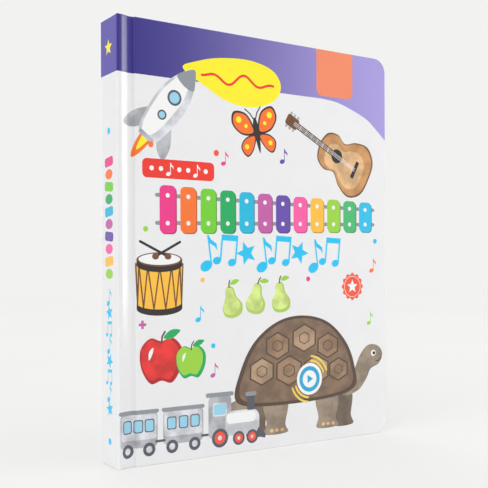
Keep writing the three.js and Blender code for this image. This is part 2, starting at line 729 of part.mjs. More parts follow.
// Two sprung push buttons, each over a contact switch on the board
const buttonFoot = knobTop - knobPlate;
const stemEnd = buttonFoot - 0.6;
const plungerTop = stemEnd - buttonTravel - 0.2;
['volume_down', 'volume_up'].forEach((name, i) => {
  const u = buttonU[i];
  addPiece(`${name}_button`, turned([
    [0, stemEnd], [2, stemEnd], [2, buttonFoot], [buttonRadius + 1.4, buttonFoot],
    [buttonRadius + 1.4, knobTop], [buttonRadius, knobTop], [buttonRadius, housingFace + buttonProud - 0.4],
    [buttonRadius - 0.5, housingFace + buttonProud], [0, housingFace + buttonProud],
  ], u, controlZ, 24), 'bluePlastic');
  addPiece(`${name}_switch`, join(
    block(u - 3, u + 3, circuitFace, plungerTop - 0.8, controlZ - 3, controlZ + 3),
    disc(u, controlZ, 1.6, plungerTop - 1.2, plungerTop, 12),
  ), 'blackPlastic');
});

export default part;
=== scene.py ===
"""Looks for a children's sound book: a printed, laminated case, card pages and a sound module.

Lengths in this file are millimetres until metres() turns them into Blender's units. u runs from
the spine's outer face to the fore edge, d is the distance from the middle plane, and z is the
height. The print is laid out on the flat sheet: s runs along the sheet from the spine's centre
line, positive over the front cover and negative over the back cover.
"""

from math import copysign, cos, pi, radians, sin

import bpy
import numpy as np
from mathutils import Matrix, Vector
from mathutils.geometry import delaunay_2d_cdt

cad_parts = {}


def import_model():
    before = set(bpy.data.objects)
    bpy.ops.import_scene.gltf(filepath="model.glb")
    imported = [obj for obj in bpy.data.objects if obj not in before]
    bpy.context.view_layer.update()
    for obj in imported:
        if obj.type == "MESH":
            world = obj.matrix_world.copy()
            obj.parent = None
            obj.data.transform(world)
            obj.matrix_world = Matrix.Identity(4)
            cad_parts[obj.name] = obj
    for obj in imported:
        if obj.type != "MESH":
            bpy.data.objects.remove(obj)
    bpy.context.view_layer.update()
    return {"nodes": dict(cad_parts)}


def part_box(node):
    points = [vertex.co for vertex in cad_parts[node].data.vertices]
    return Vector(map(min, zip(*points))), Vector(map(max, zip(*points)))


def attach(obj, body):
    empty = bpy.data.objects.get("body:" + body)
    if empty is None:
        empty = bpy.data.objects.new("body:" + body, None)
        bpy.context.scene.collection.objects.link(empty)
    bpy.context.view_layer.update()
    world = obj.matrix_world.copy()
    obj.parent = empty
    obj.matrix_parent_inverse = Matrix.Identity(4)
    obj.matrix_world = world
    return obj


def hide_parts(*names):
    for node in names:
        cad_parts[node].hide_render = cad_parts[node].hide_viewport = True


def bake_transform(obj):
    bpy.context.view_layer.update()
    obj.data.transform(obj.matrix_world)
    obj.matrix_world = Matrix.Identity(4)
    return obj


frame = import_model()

# Case
BOOK_HEIGHT = 285.0
BOOK_WIDTH = 225.0
HALF_THICKNESS = 11.4
CORNER_RADIUS = 10.5
SPINE_PROUD = 1.1
SPINE_FILLET = 1.2
JOINT_WIDTH = 12.7
GROOVE_DEPTH = 1.25
LIP_ROUND = 0.9
HINGE_LINE = 7.0
COVER_DEPTH = 2.8
WRAP_THICKNESS = 0.4
JOINT_DEPTH = 0.8
EDGE_ROUND = 0.7
INNER_ROUND = 0.3
TURN_IN = 8.0

# Where the joint passes its shoulder, its slope and its lowest line, as in the part's source
SHOULDER = (0.3, 0.45)
SLOPE = (0.5, 0.35)
GROOVE_SHARE = 0.76

# Places along the spine's half and the cover at which the case line has points of its own
SPINE_STOPS = (0.0, 4.0, 8.0)
COVER_STOPS = (18.0, 24.0, BOOK_WIDTH - EDGE_ROUND)

# Where the wrap's inside leaves the spine's lining, and the stretch over which it follows the joint
LINING_END = 10.4
SKIN_START = 4.5
SKIN_END = 9.7
SKIN_LIFT = 0.3

# Pages and the endpaper's folds
PAGE_START = 3.3
PAGE_END = 222.0
PAGE_INSET = 3.0
PAGE_CORNER = 7.5
LEAF_COUNT = 11
LEAF_GAP = 0.05
LEAF_BEVEL = 0.06
LEAF_SHIFT = 0.22
FOLD_START = 3.5
FOLD_END = 14.5
FLAP_END = 26.0
FOLD_INSET = 3.4
FOLD_LIFT = 0.04
FOLD_THICKNESS = 0.03

# Print
BAND_LOW = 249.0
BLEED = 8.0
WINDOW_GAP = 0.3
WINDOW_CORNER = 3.0
UV_SCALE = 0.002
LAMINATE_ROUGHNESS = 0.16
PRINT_ROUGHNESS = 0.55

# The print's grain: its scale, its depth in the colour and its relief in metres
PRINT_GRAIN = (1400.0, 0.03, 0.000006)

# Steps round a corner of the case and of a page, round an edge in the case line, over the joint
# and over the endpaper's fold
CASE_CORNER_STEPS = 14
PAGE_CORNER_STEPS = 10
EDGE_STEPS = 8
JOINT_STEPS = 28
FOLD_STEPS = 96

# The smallest distances and areas that count in the mesh
NEAR = 1e-3
SAME_POINT = 1e-6
SLIVER = 1e-7

# Studio, with angles in degrees and places in metres
FLOOR_HALF = 6.0
FLOOR_GLOW = 0.6
WORLD_LIGHT = 0.6
SUN_SPREAD = 50.0
BACKDROP = (242, 242, 241)
DARK_END = (-0.55, -0.83, 0.0)
DARK_REACH = (0.45, 0.98)
DARK_LEVEL = 0.12
CAMERA_PLACE = (-0.3408, -0.5021, 0.1242)
CAMERA_HEADING = -33.362
CAMERA_PITCH = -0.08
CAMERA_ROLL = -0.236
CAMERA_LENS = 63.37
CAMERA_SHIFT = 0.0568


def metres(u, y, z):
    return ((u - BOOK_WIDTH / 2) * 0.001, y * 0.001, z * 0.001)


def linear(rgb):
    """An 8-bit screen colour as Blender's linear colour."""
    parts = [c / 255 for c in rgb]
    return tuple(c / 12.92 if c <= 0.04045 else ((c + 0.055) / 1.055) ** 2.4 for c in parts) + (1.0,)


def shaded(rgb, factor):
    return tuple(min(255, c * factor) for c in rgb)


# Materials


class Nodes:
    """A short way to build the node tree of a material or a world."""

    def __init__(self, owner):
        self.owner = owner
        owner.use_nodes = True
        self.tree = owner.node_tree
        self.shader = self.tree.nodes.get("Principled BSDF")

    def plug(self, socket, value):
        if isinstance(value, bpy.types.NodeSocket):
            self.tree.links.new(value, socket)
        else:
            socket.default_value = value

    def add(self, kind, **inputs):
        node = self.tree.nodes.new(kind)
        for key, value in inputs.items():
            self.plug(node.inputs[key.replace("_", " ")], value)
        return node

    def math(self, operation, *values):
        node = self.tree.nodes.new("ShaderNodeMath")
        node.operation = operation
        for socket, value in zip(node.inputs, values):
            self.plug(socket, value)
        return node.outputs[0]

    def mix(self, factor, first, second, blend="MIX"):
        node = self.tree.nodes.new("ShaderNodeMix")
        node.data_type = "RGBA"
        node.blend_type = blend
        colours = [s for s in node.inputs if s.type == "RGBA"]
        for socket, value in zip([node.inputs[0]] + colours, (factor, first, second)):
            self.plug(socket, value)
        return [s for s in node.outputs if s.type == "RGBA"][0]

    def mix_shaders(self, factor, first, second):
        node = self.add("ShaderNodeMixShader", Fac=factor)
        self.tree.links.new(first, node.inputs[1])
        self.tree.links.new(second, node.inputs[2])
        return node.outputs[0]

    def noise(self, place, scale, detail=2.0, roughness=0.5):
        node = self.add("ShaderNodeTexNoise", Vector=place, Scale=scale, Detail=detail, Roughness=roughness)
        return node.outputs["Fac"]

    def smooth(self, value, low, high, to_low=0.0, to_high=1.0):
        node = self.add("ShaderNodeMapRange", Value=value, From_Min=low, From_Max=high,
                        To_Min=to_low, To_Max=to_high)
        node.interpolation_type = "SMOOTHSTEP"
        return node.outputs["Result"]

    def patches(self, place, scale, first, second, detail=3.0, low=0.35, high=0.65):
        """Soft patches of two screen colours."""
        mask = self.smooth(self.noise(place, scale, detail), low, high)
        return self.mix(mask, linear(first), linear(second))

    def bump(self, height, distance):
        node = self.add("ShaderNodeBump", Strength=1.0, Distance=distance, Height=height)
        self.tree.links.new(node.outputs["Normal"], self.shader.inputs["Normal"])

    def colour(self, value):
        self.plug(self.shader.inputs["Base Color"], value)

    def grained(self, tone, place, grain, depth, bump, soft=1.0):
        """Colours the shader with a tone under a fine grain, which shows in the relief too."""
        fine = self.noise(place, grain, 2.0, 0.6)
        shade = self.math("MULTIPLY", self.smooth(fine, 0.2, 0.8, 1 - depth, 1.0), soft)
        grey = self.add("ShaderNodeCombineColor", Red=shade, Green=shade, Blue=shade).outputs[0]
        self.colour(self.mix(1.0, tone, grey, "MULTIPLY"))
        self.bump(fine, bump)

    def finish(self, **settings):
        """Sets the shader's constant values and gives the material."""
        for key, value in settings.items():
            self.shader.inputs[key.replace("_", " ")].default_value = value
        return self.owner


def material(name):
    return Nodes(bpy.data.materials.new(name))


def coordinates(nodes, kind):
    """Object places in metres, or sheet places at about the same scale."""
    source = nodes.add("ShaderNodeTexCoord")
    if kind == "Object":
        return source.outputs["Object"]
    scale = (0.001 / UV_SCALE,) * 3
    return nodes.add("ShaderNodeMapping", Vector=source.outputs["UV"], Scale=scale).outputs["Vector"]


def surface(name, rgb, second=None, patch=40.0, grain=900.0, depth=0.04, roughness=0.5,
            metallic=0.0, coat=0.0, specular=0.5, bump=0.00002, coords="Object"):
    """A finish of two close tones in soft patches, with a fine grain in its colour and its relief."""
    nodes = material(name)
    place = coordinates(nodes, coords)
    nodes.grained(nodes.patches(place, patch, rgb, second or shaded(rgb, 0.93)), place, grain, depth, bump)
    return nodes.finish(Roughness=roughness, Metallic=metallic, Specular_IOR_Level=specular,
                        Coat_Weight=coat, Coat_Roughness=LAMINATE_ROUGHNESS)


def printed(name, rgb, second, patch=45.0):
    return surface("print_" + name, rgb, second, patch, *PRINT_GRAIN[:2], PRINT_ROUGHNESS,
                   coat=1.0, specular=0.0, bump=PRINT_GRAIN[2], coords="UV")


# The case's outer line


def bezier(a, b, c, count):
    a, b, c = (np.array(p) for p in (a, b, c))
    return [tuple((1 - t) ** 2 * a + 2 * t * (1 - t) * b + t * t * c) for t in np.linspace(0, 1, count + 1)]


def spline(points, count):
    """A smooth curve through the points."""
    p = [np.array(q, float) for q in points]
    line = []
    for t in np.linspace(0, len(p) - 1, count + 1):
        i = min(int(t), len(p) - 2)
        w = t - i
        before, after = p[max(i - 1, 0)], p[min(i + 2, len(p) - 1)]
        v0, v1 = (p[i + 1] - before) / 2, (after - p[i]) / 2
        line.append(tuple(
            (2 * p[i] - 2 * p[i + 1] + v0 + v1) * w ** 3
            + (-3 * p[i] + 3 * p[i + 1] - 2 * v0 - v1) * w ** 2 + v0 * w + p[i]
        ))
    return line


def case_line():
    """(u, d) points of the case's outer surface from the spine's centre line to the fore edge."""
    rises = bezier((0, SPINE_PROUD - SPINE_FILLET), (0, SPINE_PROUD), (SPINE_FILLET, SPINE_PROUD), EDGE_STEPS)
    rises += spline([
        (SPINE_FILLET, SPINE_PROUD), (SHOULDER[0] * JOINT_WIDTH, SHOULDER[1] * SPINE_PROUD),
        (SLOPE[0] * JOINT_WIDTH, -SLOPE[1] * GROOVE_DEPTH), (GROOVE_SHARE * JOINT_WIDTH, -GROOVE_DEPTH),
        (JOINT_WIDTH, -LIP_ROUND),
    ], JOINT_STEPS)[1:]
    lip = (JOINT_WIDTH, -LIP_ROUND), (JOINT_WIDTH, 0), (JOINT_WIDTH + LIP_ROUND, 0)
    rises += bezier(*lip, EDGE_STEPS)[1:]
    line = [(0.0, d) for d in SPINE_STOPS]
    line += [(u, HALF_THICKNESS + rise) for u, rise in rises]
    line += [(u, HALF_THICKNESS) for u in COVER_STOPS]
    return np.array(line)


LINE = case_line()
STEPS = np.hypot(*np.diff(LINE, axis=0).T)
ALONG = np.concatenate([[0], np.cumsum(STEPS)])
SHEET_END = ALONG[-1]
SHIFT = SHEET_END - (BOOK_WIDTH - EDGE_ROUND)


def line_normals():
    """Outward normals of the case line, as (u, d) directions."""
    tangents = np.diff(LINE, axis=0) / STEPS[:, None]
    mean = np.vstack([tangents, tangents[-1]]) + np.vstack([tangents[0], tangents])
    mean /= np.hypot(*mean.T)[:, None]
    normals = np.stack([-mean[:, 1], mean[:, 0]], axis=1)
    normals[LINE[:, 0] == 0] = (-1, 0)
    normals[LINE[:, 0] >= JOINT_WIDTH + LIP_ROUND] = (0, 1)
    return normals


NORMALS = line_normals()


def inner_line():
    """(u, d) points where the folded case ends on its inside, one for each point of the case line."""
    start = np.array([COVER_DEPTH, LINING_END])
    end = np.array([SKIN_START, HALF_THICKNESS - JOINT_DEPTH + SKIN_LIFT])
    low = HALF_THICKNESS - GROOVE_DEPTH - JOINT_DEPTH
    points = []
    for (u, d), (nu, nd) in zip(LINE, NORMALS):
        if u == 0 and d < LINING_END:
            point = (COVER_DEPTH, d)
        elif u < SKIN_START:
            point = start + (end - start) * (u / SKIN_START)
        elif u <= SKIN_END:
            point = (u - nu * JOINT_DEPTH, d - nd * JOINT_DEPTH)
        else:
            reach = min((u - SKIN_END) / (JOINT_WIDTH + LIP_ROUND - SKIN_END), 1)
            point = (u, low + (HALF_THICKNESS - COVER_DEPTH - low) * reach)
        points.append(point)
    return np.array(points)


INNER = inner_line()


def at(table, s):
    return np.array([np.interp(s, ALONG, table[:, 0]), np.interp(s, ALONG, table[:, 1])])


# Outlines


def moved(points, place, size=1.0, turn=0.0):
    c, s = cos(radians(turn)), sin(radians(turn))
    return [(place[0] + size * (x * c - y * s), place[1] + size * (x * s + y * c)) for x, y in points]


def mirrored(points):
    """An outline from its right half, from the axis at the top to the bottom."""
    return points + [(-x, y) for x, y in points[::-1] if x]


def around(count):
    return [2 * pi * i / count for i in range(count)]


def oval(rx, ry=None, count=28):
    ry = rx if ry is None else ry
    return [(rx * cos(t), ry * sin(t)) for t in around(count)]


def rounded(width, height, radius, count=5):
    points = []
    for k, (sx, sy) in enumerate(((1, -1), (1, 1), (-1, 1), (-1, -1))):
        for i in range(count + 1):
            angle = pi / 2 * (k - 1 + i / count)
            points.append((
                sx * (width / 2 - radius) + radius * cos(angle),
                sy * (height / 2 - radius) + radius * sin(angle),
            ))
    return points


def star(tips=5, inner=0.45):
    reaches = [(1, inner)[i % 2] for i in range(2 * tips)]
    return [(r * sin(t), r * cos(t)) for r, t in zip(reaches, around(2 * tips))]


def scallop(lobes=12, depth=0.08, count=96):
    return [
        ((1 + depth * cos(lobes * t)) * cos(t), (1 + depth * cos(lobes * t)) * sin(t))
        for t in around(count)
    ]


def blob(points, count=6):
    """A closed smooth curve through the points."""
    p = [np.array(q, float) for q in points]
    n = len(p)
    line = []
    for i in range(n):
        a, b, c, d = p[i - 1], p[i], p[(i + 1) % n], p[(i + 2) % n]
        for k in range(count):
            w = k / count
            line.append(tuple(0.5 * (
                2 * b + (c - a) * w + (2 * a - 5 * b + 4 * c - d) * w ** 2
                + (3 * b - a - 3 * c + d) * w ** 3
            )))
    return line


def stroke(points, width):
    """A line of even width through the points, with round ends."""
    p = np.array(points, float)
    steps = np.diff(p, axis=0)
    steps /= np.hypot(*steps.T)[:, None]
    tangents = np.vstack([steps[:1], steps[1:] + steps[:-1], steps[-1:]])
    tangents /= np.hypot(*tangents.T)[:, None]
    normals = np.stack([-tangents[:, 1], tangents[:, 0]], axis=1)
    half = width / 2

    def cap(end, sign):
        turns = [tangents[end] * sin(t) + normals[end] * cos(t) for t in (0.8, 1.6, 2.4)]
        return [p[end] + sign * half * turn for turn in turns]

    return [*(p + normals * half), *cap(-1, 1), *(p - normals * half)[::-1], *cap(0, -1)]


# Print: motifs on the flat sheet

art = []


class Motif:
    """Adds shapes to the print about a place of its own, on the front cover unless shift is 0."""

    def __init__(self, place=(0, 0), size=1.0, turn=0.0, shift=SHIFT):
        self.placing = (place, size, turn)
        self.shift = shift

    def shape(self, tone, points):
        art.append((tone, np.array(moved(points, *self.placing), float) + (self.shift, 0)))

    def disc(self, tone, u, z, rx, ry=None, count=28, turn=0):
        self.shape(tone, moved(oval(rx, ry, count), (u, z), 1.0, turn))

    def block(self, tone, u, z, width, height, radius, count=5, turn=0):
        self.shape(tone, moved(rounded(width, height, radius, count), (u, z), 1.0, turn))

    def star(self, tone, u, z, size, turn=0):
        self.shape(tone, moved(star(), (u, z), size, turn))

    def form(self, tone, points):
        self.shape(tone, blob(points))

    def line(self, tone, points, width):
        self.shape(tone, stroke(points, width))


COVER = Motif()
SHEET = Motif(shift=0)


def note(tone, place, size, turn=0, shift=SHIFT):
    """A plain music note: head, stem and flag."""
    ink = Motif(place, size, turn, shift)
    ink.disc(tone, -0.16, -0.42, 0.22, 0.16, 16, turn=20)
    ink.shape(tone, [(0.0, -0.42), (0.06, -0.42), (0.06, 0.5), (0.0, 0.5)])
    ink.shape(tone, [(0.06, 0.5), (0.12, 0.36), (0.3, 0.2), (0.3, -0.02), (0.22, 0.12), (0.06, 0.24)])


def two_notes(tone, place, size, turn=0, shift=SHIFT):
    ink = Motif(place, size, turn, shift)
    for x in (-0.3, 0.3):
        ink.disc(tone, x - 0.1, -0.42, 0.17, 0.13, 14, turn=20)
        ink.shape(tone, [(x, -0.42), (x + 0.07, -0.42), (x + 0.07, 0.45), (x, 0.45)])
    ink.shape(tone, [(-0.3, 0.28), (0.37, 0.32), (0.37, 0.52), (-0.3, 0.48)])


def draw_fields():
    """The band along the top with its falling end, and the tab on it."""
    low_edge = [(150, BAND_LOW), (165, 248.9), (181, 246.8), (203.4, 239), (214.5, 231.6), (234, 215)]
    curve = [(u + SHIFT, z) for u, z in spline(low_edge, 30)]
    left, right, top = -SHEET_END - BLEED, curve[-1][0], BOOK_HEIGHT + BLEED
    SHEET.shape("purple", [(left, BAND_LOW)] + curve + [(right, top), (left, top)])
    COVER.block("orange_tab", 175.3, 281, 34, 60, 5)


def draw_leaf():
    """A yellow leaf on the band, with a plain wave drawn along it."""
    COVER.form("yellow", [
        (47.5, 257), (58, 262.5), (76, 267), (100, 268.5), (119, 264), (126.5, 254),
        (121, 243), (103, 236.5), (82, 238.5), (64, 247),
    ])
    length = 58
    wave = [
        (62 + t, 254 - 0.02 * t + 4.2 * sin(t / 4.3) * sin(pi * t / length))
        for t in np.linspace(0, length, 60)
    ]
    COVER.line("red_label", wave, 1.7)


def draw_rocket():
    ink = Motif((37, 231), turn=-38)
    ink.form("orange", [(-4, -27), (-3, -38), (0, -44), (3, -38), (4, -27), (0, -24)])
    ink.form("yellow", [(-2.5, -27), (-1.5, -34), (0, -38), (1.5, -34), (2.5, -27), (0, -25)])
    for side in (-1, 1):
        ink.form("grey", [(side * 7, -8), (side * 17, -20), (side * 18, -31), (side * 8, -25)])
    ink.form("pale_grey", mirrored([(0, 32), (8, 20), (11.5, 4), (10, -16), (6, -27)]))
    ink.form("paper_white", [
        (-1, 28), (4, 18), (6, 4), (4.5, -16), (1, -25), (-5, -25), (-8.5, -14), (-9.5, 4), (-7, 18),
    ])
    ink.form("mid_grey", mirrored([(0, 32), (5, 26), (7.6, 20), (0, 18)]))
    for z, radius, glass in ((7, 5.2, 3.7), (-8, 3.3, 2.2)):
        ink.disc("dark_grey", 0, z, radius)
        ink.disc("sky", 0, z, glass)
    ink.block("grey", 0, -26.5, 12, 3, 1)


def draw_butterfly():
    ink = Motif((106, 219), turn=12)
    upper = ((1, 2), (6, 14), (16, 17), (19, 9), (13, 1), (4, -1))
    lower = ((1, -1), (10, -2), (15, -8), (11, -15), (5, -11))
    for side in (-1, 1):
        for tone, grow in (("black", 1.0), ("orange", 0.84)):
            for outline, across, up in ((upper, side * 11, 8), (lower, side * 9, -8)):
                wing = blob([(side * x, y) for x, y in outline])
                ink.shape(tone, [(across + (x - across) * grow, up + (y - up) * grow) for x, y in wing])
        for x, y, r in ((13, 11, 2.2), (8, 6, 1.4), (10, -8, 1.7)):
            ink.disc("yellow", side * x, y, r, count=14)
        ink.line("black", [(0, 8), (side * 3, 14), (side * 6.5, 17.5)], 0.9)
    ink.form("black", mirrored([(0, 11), (2, 6), (1.6, -6), (0, -14)]))


def draw_guitar():
    ink = Motif((177, 208), 0.92, 62)
    body = mirrored([(0, -36), (14, -34), (22, -24), (19, -12), (12.5, -3), (15, 6), (11, 15), (0, 18)])
    ink.form("brown", [(x * 1.06, (y + 9) * 1.05 - 9) for x, y in body])
    ink.form("tan", body)
    ink.form("pale_tan", [(x * 0.72 - 2, (y + 9) * 0.76 - 9) for x, y in body])
    ink.disc("black", 0, 0, 5.6)
    ink.block("brown", 0, 26, 5, 44, 1)
    ink.block("black", 0, 26, 4, 42, 1)
    ink.block("brown", 0, 50, 9, 12, 2)
    for k in range(6):
        ink.block("pale_tan", 0, 10 + 6.2 * k, 4, 0.7, 0.3, 2)
    ink.block("black", 0, -21, 15, 3.4, 1)
    for k in (-1, 0, 1):
        ink.line("paper_white", [(k * 1.2, -21), (k * 1.2, 10), (k * 1.2, 48)], 0.35)
        for side in (-1, 1):
            ink.disc("grey", side * 5.6, 50 + k * 3.6, 1.3, count=10)


BAR_TONES = (
    "pink", "orange", "lime", "green", "cyan", "mauve",
    "indigo", "rose", "amber", "leaf_green", "teal", "azure",
)


def draw_bars():
    """A toy xylophone with a bar in each colour."""
    last = len(BAR_TONES) - 1
    pitch, width, middle, start = 15.3, 12.0, 164.0, 36.0
    for sign in (-1, 1):
        ends = [(start - 8, middle + sign * 9), (start + pitch * last + 8, middle + sign * 5.5)]
        COVER.line("mid_grey", ends, 2.6)
    for i, tone in enumerate(BAR_TONES):
        u, height = start + pitch * i, 31 - 0.8 * i
        COVER.block(tone + "_deep", u + 0.7, middle - 0.7, width, height, 3.4)
        COVER.block(tone, u, middle, width, height, 3.4)
        for sign in (-1, 1):
            COVER.disc("paper_white", u, middle + sign * (9 - 3.5 * i / last), 1.5, count=14)


def draw_blue_row():
    for i in range(8):
        u = 67 + 15 * i
        z = 137 + 1.5 * sin(i * 1.9)
        if i % 3 == 1:
            two_notes("cyan_bright", (u, z), 20, -6)
        elif i % 3 == 2:
            COVER.star("cyan_bright", u, z, 8.5, 10 * i)
        else:
            note("cyan_bright", (u, z), 22, 8)


def draw_badge():
    ink = Motif((191.5, 112))
    ink.shape("badge_red", moved(scallop(), (0, 0), 9.6))
    ink.disc("badge_edge", 0, 0, 7.9)
    ink.disc("badge_red", 0, 0, 7.4)
    ink.star("paper_white", 0, 0, 5.2)


def draw_drum():
    centre, half, rim, low, high = 30, 16.5, 4.6, 102, 130

    def hoop(z):
        return [(centre + half * cos(t), z - rim * sin(t)) for t in np.linspace(0, pi, 16)]

    COVER.shape("amber", hoop(low)[::-1] + hoop(high))
    for k in range(6):
        t = pi * (k + 0.5) / 6
        u = centre + half * cos(t)
        nudge = half * 0.5 * (cos(t + 0.26) - cos(t - 0.26))
        for sign in (1, -1):
            ends = [(u + sign * nudge, high - rim * sin(t)), (u, low - rim * sin(t) + 2)]
            COVER.line("brown", ends, 1.0)
    for z in (low, high):
        COVER.shape("black", hoop(z + 2) + hoop(z - 2)[::-1])
    COVER.disc("brown", centre, high + 1.5, half, rim, 36)
    COVER.disc("paper_white", centre, high + 1.7, half - 1.4, rim - 0.9, 36)
    for x0, x1 in ((-14, 6), (15, -3)):
        COVER.line("black", [(centre + x0, high + 13), (centre + x1, high + 3.5)], 1.7)
        COVER.disc("brown", centre + x1, high + 3.5, 2.5, 2.1, 16)


def draw_pears():
    pear = blob(mirrored([(0, 10), (3.4, 7.5), (4.4, 2), (8, -4), (6.4, -10), (0, -12)]))
    for u, z, turn in ((84.5, 104, 12), (105, 106, -8), (125.5, 106.5, 6)):
        ink = Motif((u, z), turn=turn)
        ink.shape("pear_shade", pear)
        COVER.shape("pear", moved(pear, (u - 0.8, z + 0.5), 0.86, turn))
        ink.line("brown", [(0, 9), (0.4, 11.5), (1.6, 13.5)], 1.0)
        ink.form("leaf_green", [(1, 11), (5, 13.5), (9, 12), (5, 10)])


def draw_apples():
    apple = blob(mirrored([(0, 13), (8, 15), (15, 8), (14.5, -4), (8, -14), (0, -12.5)]))
    for (u, z), size, tone, shade in (
        ((31, 66), 1.0, "apple", "apple_deep"), ((53, 64), 0.72, "leaf_green", "green"),
    ):
        ink = Motif((u, z), size)
        ink.shape(shade, apple)
        COVER.shape(tone, moved(apple, (u - 1, z + 0.8), size * 0.88))
        ink.form("paper_white", [(-9, 6), (-6, 9), (-6.5, 5), (-9, 1)])
        ink.line("brown", [(0, 11.5), (0.6, 16), (2.6, 19)], 1.3)
        ink.form("green", [(1.5, 15), (7, 20), (14, 19.5), (8, 14.5)])


def draw_tortoise():
    """The tortoise, drawn to size and then made smaller about its nose and the ground."""
    nose, ground, scale = 221, 10, 0.9
    ink = Motif((nose * (1 - scale), ground * (1 - scale)), scale)
    for u in (92, 178):
        ink.form("tortoise_dark", [
            (u - 9, 34), (u + 9, 36), (u + 8, 18), (u + 10, 10), (u - 9, 10), (u - 8, 20),
        ])
    ink.form("tortoise_skin", [
        (176, 47), (188, 52), (196, 66), (205, 74), (216, 73), (221, 66), (217, 58), (208, 54),
        (203, 46), (194, 37), (178, 34),
    ])
    ink.form("tortoise_skin", [(80, 40), (66, 36), (58, 31), (68, 30), (82, 31)])
    for u in (110, 161):
        ink.form("tortoise_skin", [
            (u - 11, 35), (u + 11, 35), (u + 9, 17), (u + 11, 10), (u - 10, 10), (u - 9, 19),
        ])
        for k in (-1, 0, 1):
            ink.disc("pale_tan", u + 1 + 5 * k, 12.4, 1.8, 1.4, 12)
    dome = [
        (73, 38), (77, 60), (90, 82), (112, 97), (137, 101), (162, 95), (181, 78), (190, 58), (190, 40),
        (160, 33), (100, 32),
    ]
    ink.form("shell_rim", dome)
    ink.form("shell", [(135 + (u - 135) * 0.93, 40 + (z - 40) * 0.93 + 2) for u, z in dome])
    hexagon = [(cos(t + 0.5), 0.86 * sin(t + 0.5)) for t in around(6)]
    for u, z, size, tone in (
        (112, 78, 13, "shell_plate"), (138, 83, 13.5, "shell_light"), (162, 76, 12.5, "shell_plate"),
        (97, 59, 13, "shell_light"), (123, 58, 14.5, "shell_plate"), (150, 57, 14.5, "shell_light"),
        (173, 56, 11.5, "shell_plate"),
    ):
        plate = size - 1.6
        for layer, reach in (
            ("shell_rim", size), (tone, plate), ("shell_rim", 0.5 * plate), (tone, 0.42 * plate),
        ):
            ink.shape(layer, moved(hexagon, (u, z), reach))
    ink.disc("paper_white", 211, 67, 2.6, count=16)
    ink.disc("black", 211.6, 67, 1.5, count=12)
    ink.line("black", [(214, 60), (217, 60.5), (219.5, 62.5)], 0.8)


def draw_train():
    """An engine and wagons that run over the joint."""
    floor, top = 12.0, 34
    for u0, u1 in ((0.5, 28), (32, 62)):
        mid, width, height = (u0 + u1) / 2, u1 - u0, top - floor
        COVER.block("grey", mid, (top + floor) / 2, width, height, 3)
        COVER.block("pale_grey", mid, (top + floor) / 2 + 2, width - 1.6, height - 6, 2)
        COVER.block("mid_grey", mid, top + 0.6, width + 2, 2.6, 1.2)
        for k in (-1, 0, 1):
            COVER.block("dark_grey", mid + k * width * 0.29, 25.6, 7, 8.4, 1.6)
            COVER.block("sky", mid + k * width * 0.29, 25.6, 5.6, 7, 1.2)
        for k in (-1, 1):
            COVER.disc("dark_grey", mid + k * width * 0.28, floor - 1.6, 4.4, count=20)
            COVER.disc("pale_grey", mid + k * width * 0.28, floor - 1.6, 2.2, count=14)
    for u in (30, 64):
        COVER.line("dark_grey", [(u - 3, floor + 3), (u + 3, floor + 3)], 1.6)
    for tone, u, z, width, height, radius in (
        ("grey", 75, 26, 18, 28, 3), ("pale_grey", 75, 31, 11, 9, 1.5), ("sky", 75, 31, 9.4, 7.4, 1.2),
        ("mid_grey", 75, 41, 22, 3, 1.4), ("pale_grey", 93, 20.6, 28, 17, 6),
        ("paper_white", 92, 24, 24, 7, 3), ("dark_grey", 100, 34, 6, 11, 1),
        ("mid_grey", 100, 39.6, 9, 3, 1.2),
    ):
        COVER.block(tone, u, z, width, height, radius)
    COVER.shape("dark_grey", [(104, 10), (112, 8), (112, 11), (106, 16)])
    for u, r in ((75, 6.4), (90, 4.8), (101, 4.8)):
        COVER.disc("dark_grey", u, 5.4 + r, r, count=24)
        COVER.disc("badge_red", u, 5.4 + r, r * 0.66, count=20)
        COVER.disc("pale_grey", u, 5.4 + r, r * 0.26, count=12)


def draw_button():
    ink = Motif((151, 46))
    ink.disc("paper_white", 0, 0, 11.4, count=40)
    ink.disc("ring_blue", 0, 0, 9.2, count=40)
    ink.disc("paper_white", 0, 0, 6.2, count=32)
    ink.shape("ring_blue", [(-1.9, -3), (3, 0), (-1.9, 3)])
    for radius in (13.2, 16.4):
        for start in (20, 200):
            angles = [radians(start + k * 8) for k in range(9)]
            ink.line("arc_yellow", [(radius * cos(a), radius * sin(a)) for a in angles], 1.5)


def draw_small_marks():
    COVER.block("red_label", 44.5, 190, 53.5, 12.4, 3.2)
    for k in range(7):
        u = 24.5 + 6.7 * k
        if k % 3 == 2:
            note("paper_white", (u, 190.2), 8)
        else:
            COVER.disc("paper_white", u, 190, 1.6, count=16)
    for u, z, r, tone in (
        (24, 205, 1.9, "orange"), (73, 203, 2.1, "badge_red"), (20, 151, 1.8, "leaf_green"),
        (62, 118, 1.6, "amber"), (150, 118, 1.8, "pink"), (214, 146, 1.9, "azure"),
        (70, 74, 1.7, "cyan_bright"),
    ):
        COVER.disc(tone, u, z, r, count=18)
    for u, z, size, tone in (
        (129, 205, 10, "indigo"), (80, 200, 9, "pink"), (60, 96, 10, "cyan_bright"),
        (212, 128, 10, "orange"), (71, 58, 9, "mauve"), (209, 88, 9, "leaf_green"),
    ):
        note(tone, (u, z), size)
    plus = [
        (-1, 3), (1, 3), (1, 1), (3, 1), (3, -1), (1, -1),
        (1, -3), (-1, -3), (-1, -1), (-3, -1), (-3, 1), (-1, 1),
    ]
    COVER.shape("mauve", moved(plus, (17.5, 90), 0.9))
    COVER.form("leaf_green", [
        (116, 12), (117, 19), (119.5, 14), (121.5, 22), (124, 14.5), (127.5, 18.5), (128, 12), (122, 9.5),
    ])


